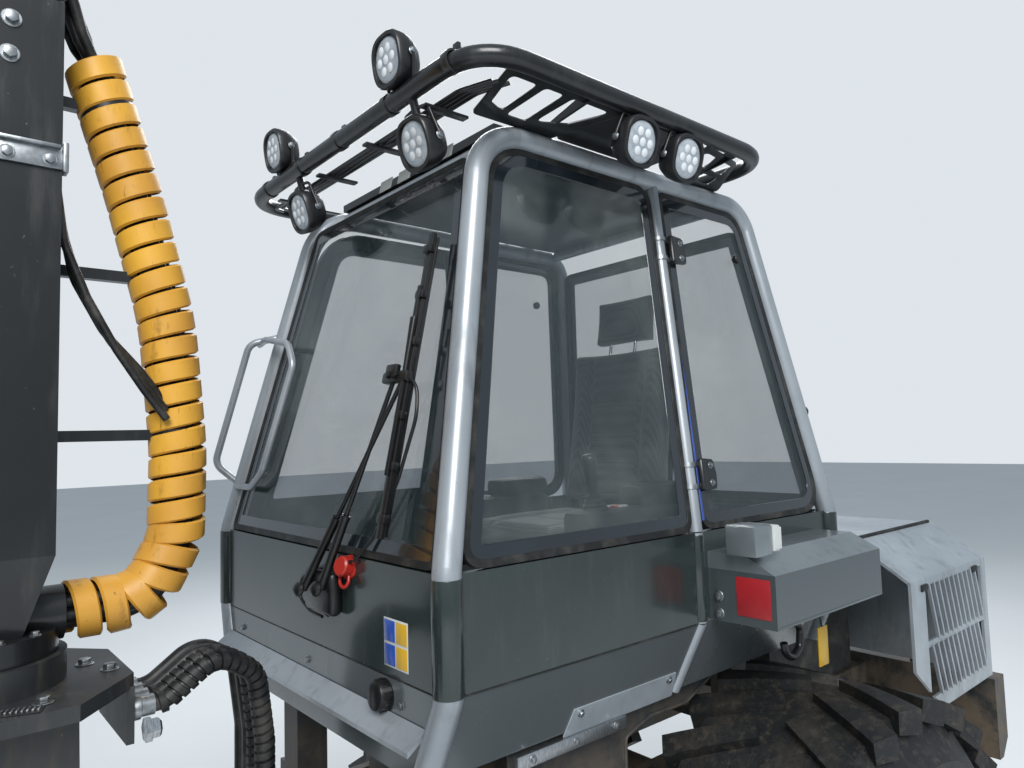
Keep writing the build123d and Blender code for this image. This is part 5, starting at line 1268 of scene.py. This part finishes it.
def cushion(name, look):
    # a cube's faces are cut finely, rounded, drawn in between the corners, crowned and sewn
    clearSelection()
    bpy.ops.mesh.primitive_cube_add(size=2)
    piece = bpy.context.object
    bpy.ops.object.mode_set(mode="EDIT")
    bpy.ops.mesh.select_all(action="SELECT")
    bpy.ops.mesh.subdivide(number_cuts=cushionLook["cuts"])
    bpy.ops.object.mode_set(mode="OBJECT")
    width, length, thick = [value / 2 for value in look["size"]]
    for vertex in piece.data.vertices:
        u, v, w = vertex.co
        slim = 1 - cushionLook["edge"] * (1 - math.sqrt(1 - 0.95 * w * w))
        acrossPull = 1 - cushionLook["pull"] * (1 - v * v)
        alongPull = 1 - cushionLook["pull"] * (1 - u * u)
        dome = (1 - u ** 4) * (1 - v ** 4)
        lift = w * (1 - cushionLook["crown"] * (1 - dome))
        top = max(0.0, w)
        if look["bolster"]:
            lift -= look["bolster"] * top * (1 - softRise(abs(u), look["flank"], 0.85)) * dome
            lift -= cushionLook["groove"] * top * math.exp(
                -((abs(u) - look["flank"]) / cushionLook["seam"]) ** 2)
        for seam in look["seams"]:
            inside = 1 - softRise(abs(u), look["flank"] - 0.06, look["flank"])
            lift -= cushionLook["groove"] * top * inside * math.exp(
                -((v - seam) / cushionLook["seam"]) ** 2)
        vertex.co = (u * width * slim * acrossPull, v * length * slim * alongPull, lift * thick)
    applyModifier(piece, "SUBSURF", levels=1, render_levels=1)
    piece = finishPiece(piece, name, "seatCloth", "front_unit",
                        frameAt(look["place"], look["normal"], look["up"]), smooth=75.0)
    return piece


def dressSeat():
    for name, look in cushions.items():
        cushion(name, look)
    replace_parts(bpy.data.objects["seatSquab"], "seat")
    back = cushions["seatBack"]
    behind = Vector(back["place"]) - Vector(back["normal"]).normalized() * 0.054
    base = [slabPiece("seatShell", behind, back["normal"], back["up"], (0.430, 0.530, 0.010),
                      "consolePlastic", None, 0.004)]
    for y in (-0.06, 0.06):
        base.append(tubePiece("headPost", [(2.160, y, 2.190), (2.181, y, 2.300)], 0.006,
                              "chrome", None, 0.0))
    for k in range(9):
        z, half = 1.255 + 0.027 * k, 0.142 if k % 2 else 0.128
        base.append(tubePiece("bellow", [(1.880 - half, -half, z), (1.880 + half, -half, z),
                                         (1.880 + half, half, z), (1.880 - half, half, z)],
                              0.015, "gasket", None, 0.03, closed=True, steps=3))
    for name, low, high, finish, bevel in (
            ("seatFoot", (1.730, -0.150, 1.222), (2.030, 0.150, 1.242), "consolePlastic", 0.004),
            ("seatCore", (1.765, -0.115, 1.242), (1.995, 0.115, 1.490), "gasket", 0.01),
            ("seatPan", (1.650, -0.205, 1.486), (2.090, 0.205, 1.524), "consolePlastic", 0.008)):
        base.append(boxPiece(name, low, high, finish, None, bevel))
    for y in (-0.170, 0.150):
        base.append(boxPiece("seatRail", (1.700, y, 1.478), (2.060, y + 0.022, 1.494),
                             "aluminium", None, 0.002))
    joinPieces("seatBase", base, "front_unit")


dressSeat()

# Consoles: rounded pods with an arm pad, a joystick in its gaiter and a field of keys


console = {"y": 0.330, "stick": (1.640, 1.688), "keys": (3, 2), "keyPitch": (0.022, 0.026)}
monitor = {"place": (1.690, 0.300, 2.150), "facing": (0.75, -0.55, 0.1)}


def dressConsole(side):
    y = side * console["y"]
    # name, x, half width, z, finish, bevel
    pod = [boxPiece(name, (x0, y - half, z0), (x1, y + half, z1), finish, None, bevel)
           for name, x0, x1, half, z0, z1, finish, bevel in (
               ("podBody", 1.555, 2.026, 0.056, 1.566, 1.690, "consolePlastic", 0.022),
               ("podFoot", 1.822, 1.938, 0.038, 1.222, 1.570, "consolePlastic", 0.012),
               ("armPad", 1.790, 2.030, 0.050, 1.688, 1.752, "gasket", 0.024))]
    stickX, stickZ = console["stick"]
    stick = frameAt((stickX, y, stickZ), (-0.12, 0, 1))
    pod.append(turnedPiece("gaiter", [(0.040, 0.0), (0.040, 0.004), (0.033, 0.012),
                                      (0.036, 0.017), (0.027, 0.024), (0.030, 0.029),
                                      (0.020, 0.037), (0.022, 0.042), (0.012, 0.050),
                                      (0.0, 0.050)], stick, "gasket", None, 24))
    pod.append(turnedPiece("grip", [(0.0, 0.040), (0.010, 0.042), (0.013, 0.060), (0.018, 0.085),
                                    (0.0165, 0.110), (0.021, 0.135), (0.023, 0.150), (0.018, 0.162),
                                    (0.0, 0.166)], stick, "wiperPlastic", None, 24, 60.0))
    pitchX, pitchY = console["keyPitch"]
    for i in range(console["keys"][0]):
        for k in range(console["keys"][1]):
            pod.append(boxPiece("key", (1.700 + i * pitchX, y - 0.022 + k * pitchY, 1.689),
                                (1.716 + i * pitchX, y - 0.004 + k * pitchY, 1.696),
                                "whitePlastic" if (i + k) % 3 else "redPlastic", None, 0.002))
    return joinPieces("consoleLeft" if side > 0 else "consoleRight", pod, "front_unit")


def dressCabInside():
    # both consoles, and a monitor on a bent arm from the roof rail
    left = dressConsole(1)
    dressConsole(-1)
    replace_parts(left, "console")
    screen, facing = Vector(monitor["place"]), Vector(monitor["facing"])
    parts = [slabPiece("screenBody", screen, facing, (0, 0, 1), (0.235, 0.160, 0.030),
                       "wiperPlastic", None, 0.008),
             slabPiece("screenGlass", screen + facing * 0.0165, facing, (0, 0, 1),
                       (0.205, 0.130, 0.002), "printBand", None, 0.0006),
             tubePiece("screenArm", [(1.670, 0.318, 2.160), (1.640, 0.360, 2.240),
                                     (1.640, 0.385, 2.590)], 0.009, "wiperPlastic", None, 0.03)]
    joinPieces("monitor", parts, "front_unit")


dressCabInside()
print("seat and consoles dressed")

# Crane column: galvanised clamp, bolts, hoses down its front into the guard, foot bolts
column = {"x": 0.202, "half": 0.125, "faceY": -0.1252, "footTop": 1.5463, "boltRing": 0.137}


def dressColumn():
    face = column["faceY"]
    clamp = [slabPiece(name, (x, face - out, z), (0, -1, 0), (0, 0, 1), size, "zinc", None, bevel)
             for name, x, out, z, size, bevel in (
                 ("clampPlate", 0.268, 0.004, 2.497, (0.118, 0.048, 0.008), 0.003),
                 ("clampLip", 0.331, 0.004, 2.497, (0.010, 0.062, 0.030), 0.002),
                 ("clampRib", 0.268, 0.012, 2.518, (0.110, 0.008, 0.012), 0.002))]
    clamp.append(boltSet("clampBolts", [(0.232, face - 0.008, 2.490), (0.304, face - 0.008, 2.490)],
                         (0, -1, 0), 0.020, "zinc", None))
    joinPieces("columnClamp", clamp, "crane_column")
    boltSet("columnBolts", [(0.236, face, 2.766), (0.234, face, 2.693), (0.170, face, 2.766),
                            (0.168, face, 2.693)], (0, -1, 0), 0.026, "zinc", "crane_column")
    ring = []
    for i in range(12):
        angle = 2 * math.pi * (i + 0.5) / 12
        ring.append((column["x"] + column["boltRing"] * math.cos(angle),
                     column["boltRing"] * math.sin(angle), column["footTop"]))
    boltSet("columnFootBolts", ring, (0, 0, 1), 0.016, "zinc", "crane_column")
    runs = []
    for i in range(5):
        y = -0.048 + i * 0.024
        runs.append(tubePiece(
            f"feed{i}", [(0.3285, y * 1.3, 2.905), (0.352 + 0.006 * (i % 2), y * 1.2, 2.880),
                         (0.372 + 0.012 * (i % 2), y * 0.9, 2.820), (0.400, y * 0.5, 2.772)],
            0.0115, "hoseRubber", None, 0.05))
        runs.append(turnedPiece("ferrule", [(0, 0), (0.015, 0), (0.016, 0.003), (0.016, 0.020),
                                            (0.0135, 0.024), (0, 0.024)],
                                frameAt((0.326, y * 1.3, 2.905), (1, 0, -0.5)), "zinc", None, 18))
    runs.append(boxPiece("feedBlock", (0.262, -0.070, 2.885), (0.3275, 0.070, 2.925), "castIron",
                         None, 0.003))
    for i, reach in enumerate((0.0, 0.020, 0.042)):
        y = -0.045 - 0.014 * i
        runs.append(tubePiece(
            f"loose{i}", [(0.3285, y, 2.470 - reach), (0.340, y, 2.380 - reach),
                          (0.362 + reach / 2, y, 2.270 - reach),
                          (0.420 + reach / 2, y, 2.160 - reach),
                          (0.496, y, 2.075 - reach), (0.545, y * 0.9, 2.010 - reach)],
            0.0085, "hoseRubber", None, 0.12))
    joinPieces("columnHoses", runs, "crane_column")


# Pedestal top: toothed slot, chrome plug, bolts; fittings and spiral wraps of the joint hoses
jointHose = {"radius": 0.023, "pitch": 0.021, "width": 0.017, "thick": 0.006, "steps": 16}
jointHoseRows = (-0.095, -0.045, 0.005, 0.055)
pedestal = {"top": 1.4432, "faceX": 0.4703, "hoseZ": 1.363, "slot": (0.262, -0.228), "lean": -0.35,
            "teeth": 8, "toothPitch": 0.008}


def dressPedestal():
    top, lean = pedestal["top"], pedestal["lean"]
    x, y = pedestal["slot"]
    slot = [slabPiece("slotBed", (x, y, top + 0.001), (0, 0, 1), (1, lean, 0),
                      (0.030, 0.070, 0.003), "gasket", None, 0.001)]
    for i in range(pedestal["teeth"]):
        shift = -0.028 + pedestal["toothPitch"] * i
        slot.append(slabPiece("slotTooth", (x + shift, y + lean * shift, top + 0.004), (0, 0, 1),
                              (1, lean, 0), (0.024, 0.004, 0.006), "zinc", None, 0.001))
    joinPieces("toothedSlot", slot, "rear_unit")
    boltSet("pedestalBolts", [(0.405, 0.020, top), (0.437, -0.060, top), (0.300, -0.200, top),
                              (0.340, 0.190, top)], (0, 0, 1), 0.026, "zinc", "rear_unit")
    turnedPiece("chromePlug", [(0, 0), (0.024, 0), (0.024, 0.012), (0.019, 0.014), (0.019, 0.026),
                               (0.015, 0.030), (0, 0.030)],
                frameAt((0.4705, -0.205, 1.350), (1, 0, 0)), "chrome", "rear_unit", 6, 20.0)
    fittings = []
    for y in jointHoseRows:
        fittings.append(turnedPiece(
            "hoseFerrule", [(0.0176, 0.002), (0.024, 0.002), (0.0255, 0.006), (0.0255, 0.016),
                            (0.0215, 0.018), (0.0215, 0.044), (0.0176, 0.046)],
            frameAt((pedestal["faceX"], y, pedestal["hoseZ"]), (1, 0, 0)), "zinc", None, 24))
    joinPieces("hoseFerrules", fittings, "rear_unit")
    for y in jointHoseRows[:2]:
        points = [(0.520, y, pedestal["hoseZ"]), (0.540, y, pedestal["hoseZ"]),
                  (0.645, y * 1.02, 1.438),
                  (0.735, y, 1.383), (0.755, y, 1.223), (0.755, y, 1.010)]
        run = roundedRun(points, [0, 0.06, 0.07, 0.07, 0.08, 0], 10)
        windBand(f"hoseWrap.{int(-y * 1000)}", run, jointHose, "gasket", "rear_unit")


# Header plates behind the windscreen's top, second leg of the handrail, blue seal strip,
# sill plate, skirt and rail


sill = {"place": (1.490, -0.5508, 1.2360), "tilt": (0, -0.9215, -0.3885),
        "up": (0, -0.3885, 0.9215), "boltX": (1.325, 1.655), "railFace": -0.5467, "railZ": 1.189,
        "railBoltX": (1.186, 1.322, 1.461), "skirtY": -0.500,
        "skirt": [(1.150, 1.205), (1.150, 1.000), (1.539, 1.000), (1.543, 1.125), (1.646, 1.154),
                  (1.800, 1.150), (1.930, 1.200), (1.930, 1.212)]}


def dressCabOutside():
    plates = [slabPiece(f"headerPlate{i}", (1.117, y, 2.622 - 0.0001 * i), (-1, 0, 0.24),
                        (0.24, 0, 1), (0.062, 0.034, 0.003), "whitePlastic", None, 0.001)
              for i, y in enumerate((-0.068, -0.165, -0.262, -0.357))]
    joinPieces("headerPlates", plates, "front_unit")
    tubePiece("railLeg", [(1.002, 0.570, 2.236), (0.998, 0.505, 2.246), (1.002, 0.340, 2.215),
                          (1.000, 0.300, 2.144), (0.930, 0.372, 1.820), (0.922, 0.440, 1.774),
                          (0.930, 0.590, 1.774)],
              0.0105, "silverTubePaint", "front_unit", 0.045)
    tubePiece("blueSeal", [(1.770, -0.6085, 1.665), (1.843, -0.452, 2.600)], 0.0055, "signBlue",
              "front_unit", 0.0)
    tilt, upward = Vector(sill["tilt"]), Vector(sill["up"])
    flat = frameAt(sill["place"], tilt, upward)
    platePiece("sillPlate", roundedHole([(-0.203, -0.036), (0.203, -0.036), (0.190, 0.040),
                                         (-0.190, 0.040)], 0.006),
               flat, 0.003, "silverSheetPaint", "front_unit")
    boltSet("sillBolts", [Vector((x, *sill["place"][1:])) + upward * 0.024 + tilt * 0.0016
                          for x in sill["boltX"]], tilt, 0.014, "zinc", "front_unit")
    skirt = sill["skirt"]
    across = Matrix(((1, 0, 0, 0), (0, 0, -1, sill["skirtY"]), (0, 1, 0, 0), (0, 0, 0, 1)))
    platePiece("sideSkirt", skirt, across, 0.004, "chassisPaint", "front_unit")
    tubePiece("skirtLip", [(x, -0.5025, z) for x, z in skirt[2:7]], 0.005, "chassisPaint",
              "front_unit", 0.02)
    boxPiece("sillRail", (1.142, -0.5465, 1.172), (1.501, -0.5310, 1.204), "aluminium",
             "front_unit", 0.003)
    boltSet("railBolts", [(x, sill["railFace"], sill["railZ"]) for x in sill["railBoltX"]],
            (0, -1, 0), 0.014, "zinc", "front_unit")


# Wheels: a domed hub cap in the boss and a ring of wheel nuts on each disc
wheelDress = {
    "front": {"y": 0.725, "boss": 0.054, "disc": 0.0382, "cap": 0.085, "ring": 0.168, "nuts": 10,
              "x": {"front": 2.120}, "z": 0.590},
    "bogie": {"y": 0.805, "boss": 0.044, "disc": 0.0282, "cap": 0.058, "ring": 0.128, "nuts": 8,
              "x": {"bogie_fore": -1.400, "bogie_aft": -2.400}, "z": 0.437},
}


def dressWheels():
    for look in wheelDress.values():
        cap = look["cap"]
        for place, x in look["x"].items():
            for word, side in (("left", 1), ("right", -1)):
                body = f"wheel_{place}_{word}"
                axis = (0, side, 0)
                hub = Vector((x, side * (look["y"] + look["boss"]), look["z"]))
                domed = turnedPiece(
                    "cap", [(cap, 0.0005), (cap, 0.010), (cap * 0.94, 0.014), (cap * 0.80, 0.015),
                            (cap * 0.74, 0.026), (cap * 0.5, 0.032), (0.012, 0.034),
                            (0.010, 0.038), (0.0, 0.038)], frameAt(hub, axis), "zinc", None, 28)
                nuts = []
                for i in range(look["nuts"]):
                    angle = 2 * math.pi * i / look["nuts"]
                    nuts.append((x + look["ring"] * math.cos(angle),
                                 side * (look["y"] + look["disc"]),
                                 look["z"] + look["ring"] * math.sin(angle)))
                joinPieces(f"hubDress.{place}.{word}",
                           [domed, boltSet("nuts", nuts, axis, 0.030, "zinc", None)], body)


dressColumn()
dressPedestal()
dressCabOutside()
dressWheels()
print("column, pedestal, sills and wheels dressed")

# Crane and running gear: pin caps with keepers, steel lines on the boom, cylinder ports


def surfacePoint(node, start, direction):
    found, place = nodes[node].ray_cast(Vector(start), Vector(direction))[:2]
    return place if found else Vector(start)


crane = {"pin": (0.130, 3.020), "angle": 8.0, "webHalf": 0.072, "pinHalf": 0.106,
         "foldPin": (-3.0983, 3.4737), "foldHalf": 0.080}


def pinCap(name, x, y, z, radius, body):
    side = 1 if y > 0 else -1
    cap = turnedPiece("cap", [(0, 0), (radius, 0), (radius, 0.006), (radius * 0.9, 0.009),
                              (0.008, 0.009), (0.006, 0.005), (0, 0.005)],
                      frameAt((x, y, z), (0, side, 0)), "zinc", None, 28)
    bolt = boltHead("keeperBolt", (x, y + side * 0.009, z), (0, side, 0), 0.022, "zinc", None)
    return joinPieces(name, [cap, bolt], body)


def barrelPorts(name, start, run, radius, length, body):
    # a port boss at each end of a cylinder barrel, joined by a steel line along its side
    start, run = Vector(start), Vector(run).normalized()
    flank = Vector((0, -1, 0))
    ends = [start + run * 0.085, start + run * (length - 0.075)]
    parts = []
    for end in ends:
        parts.append(turnedPiece("boss", [(0, 0), (0.016, 0), (0.016, 0.012), (0.012, 0.014),
                                          (0.012, 0.026), (0, 0.026)],
                                 frameAt(end + flank * (radius - 0.002), flank), "zinc", None, 6,
                                 20.0))
    out = flank * (radius + 0.020)
    parts.append(tubePiece("line", [ends[0] + out, ends[0] + out + run * 0.05,
                                    ends[1] + out - run * 0.05, ends[1] + out],
                           0.006, "zinc", None, 0.0))
    return joinPieces(name, parts, body)


def dressCrane():
    angle = math.radians(crane["angle"])
    along = Vector((-math.cos(angle), 0, math.sin(angle)))
    upward = Vector((math.sin(angle), 0, math.cos(angle)))
    root = Vector((crane["pin"][0], 0, crane["pin"][1]))
    lines = []
    for side in (-1, 1):
        out = Vector((0, side * (crane["webHalf"] + 0.0095), 0))
        for lift in (-0.012, 0.014):
            spots = [root + out + along * u + upward * (lift + rise)
                     for u, rise in ((0.32, 0.030), (0.42, 0.0), (2.62, 0.0), (2.70, 0.012))]
            lines.append(tubePiece("boomLine", spots, 0.0075, "zinc", None, 0.05))
        for u in (0.55, 1.05, 1.55, 2.05, 2.50):
            place = root + along * u + upward * 0.001
            place.y = side * (crane["webHalf"] + 0.008)
            lines.append(slabPiece("lineClamp", place, (0, side, 0), upward,
                                   (0.030, 0.062, 0.018), "castIron", None, 0.003))
        pinCap(f"boomPinCap.{side + 1}", crane["pin"][0], side * crane["pinHalf"],
               crane["pin"][1], 0.036, "crane_column")
        pinCap(f"foldPinCap.{side + 1}", crane["foldPin"][0], side * (crane["foldHalf"] + 0.0003),
               crane["foldPin"][1], 0.032, "jib")
    joinPieces("boomLines", lines, "boom")
    barrelPorts("liftPorts", (0.002, 0, 1.890), (-0.28465, 0, 0.95863), 0.050, 0.781,
                "lift_barrel")
    barrelPorts("foldPorts", (-1.7782, 0, 3.5255), (-0.99985, 0, 0.01752), 0.042, 0.752,
                "jib_fold_barrel")


def dressRunningGear():
    for side, word in ((-1, "right"), (1, "left")):
        end = surfacePoint("rear_frame", (-1.900, side * 2.0, 0.500), (0, -side, 0))
        if abs(end.y) < 1.5:
            pinCap(f"bogiePivotCap.{word}", -1.900, end.y + side * 0.0004, 0.500, 0.045,
                   "rear_unit")
        bolts = []
        for x in (-0.900, -2.000, -3.100):
            for y in (0.300, 0.420):
                place = surfacePoint("bunks", (x + 0.5, side * y, 0.965), (-1, 0, 0))
                bolts.append(place + Vector((0.0003, 0, 0)))
        boltSet(f"bunkBolts.{word}", bolts, (1, 0, 0), 0.026, "zinc", "rear_unit")
    place = surfacePoint("door", (1.150, 2.0, 1.560), (0, -1, 0))
    handle = [slabPiece("handleBase", place + Vector((0, 0.004, 0)), (0, 1, 0), (0, 0, 1),
                        (0.120, 0.045, 0.008), "wiperPlastic", None, 0.004),
              tubePiece("handleLever", [place + Vector((0.040, 0.004, 0)),
                                        place + Vector((0.038, 0.030, 0)),
                                        place + Vector((-0.045, 0.034, -0.004))],
                        0.008, "wiperPlastic", None, 0.015)]
    joinPieces("doorHandle", handle, "door")


dressCrane()
dressRunningGear()
print("crane and running gear dressed")

# Stage, light and camera
stageLook = {"floorHex": "#d6d9da", "skyHex": "#dfe5ea", "fillStrength": 0.62,
             "key": 950.0, "rim": 420.0}


def makeStage():
    bpy.ops.mesh.primitive_plane_add(size=80, location=(0, 0, 0))
    floor = bpy.context.object
    floor.name = "floor"
    material, tree, shader, coords = startMaterial("paleFloor")
    shade = cloud(tree, coords, 0.6, 3.0, cut=(0.3, 0.8))
    pale = toLinear(stageLook["floorHex"])
    fillShader(tree, shader, overlay(tree, pale, shaded(pale, 1.04), shade), {"Roughness": 0.9})
    floor.data.materials.append(material)
    world = bpy.data.worlds.new("studio")
    bpy.context.scene.world = world
    world.use_nodes = True
    tree = world.node_tree
    tree.nodes.clear()
    output = tree.nodes.new("ShaderNodeOutputWorld")
    light = addNode(tree, "ShaderNodeBackground",
                    {"Color": toLinear("#cfdbe6"), "Strength": stageLook["fillStrength"]})
    pale = addNode(tree, "ShaderNodeBackground",
                   {"Color": toLinear(stageLook["skyHex"]), "Strength": 1.0})
    path = addNode(tree, "ShaderNodeLightPath")
    mixer = addNode(tree, "ShaderNodeMixShader", {},
                    {0: path.outputs["Is Camera Ray"], 1: light.outputs[0], 2: pale.outputs[0]})
    tree.links.new(mixer.outputs[0], output.inputs["Surface"])


def addArea(name, place, target, size, power):
    bpy.ops.object.light_add(type="AREA", location=place)
    lamp = bpy.context.object
    lamp.name = name
    lamp.data.size = size
    lamp.data.energy = power
    aim = (Vector(target) - Vector(place)).normalized()
    lamp.rotation_euler = aim.to_track_quat("-Z", "Y").to_euler()
    return lamp


def makeCamera():
    # the photograph's own viewpoint: eye height on the right, looking up a little at the cab
    view = {"place": (0.0809, -1.8197, 1.9064), "yaw": 40.167, "pitch": 4.153, "roll": -1.612,
            "lens": 25.69}
    yaw, pitch, roll = (math.radians(view[key]) for key in ("yaw", "pitch", "roll"))
    ahead = Vector((math.sin(yaw) * math.cos(pitch), math.cos(yaw) * math.cos(pitch),
                    math.sin(pitch)))
    flatRight = Vector((math.cos(yaw), -math.sin(yaw), 0))
    flatUp = flatRight.cross(ahead)
    right = flatRight * math.cos(roll) + flatUp * math.sin(roll)
    up = flatUp * math.cos(roll) - flatRight * math.sin(roll)
    bpy.ops.object.camera_add(location=view["place"])
    camera = bpy.context.object
    turn = Matrix((right, up, -ahead)).transposed()
    camera.matrix_world = Matrix.Translation(view["place"]) @ turn.to_4x4()
    camera.data.sensor_width = 36.0
    camera.data.lens = view["lens"]
    camera.data.clip_start = 0.02
    bpy.context.scene.camera = camera


makeStage()
addArea("keyLight", (-3.0, -6.5, 7.5), (1.2, 0.0, 1.6), 5.0, stageLook["key"])
addArea("rimLight", (5.5, 4.5, 6.5), (1.2, 0.0, 1.8), 5.0, stageLook["rim"])
makeCamera()
bpy.context.scene.view_settings.view_transform = "Standard"
print("stage and camera set")
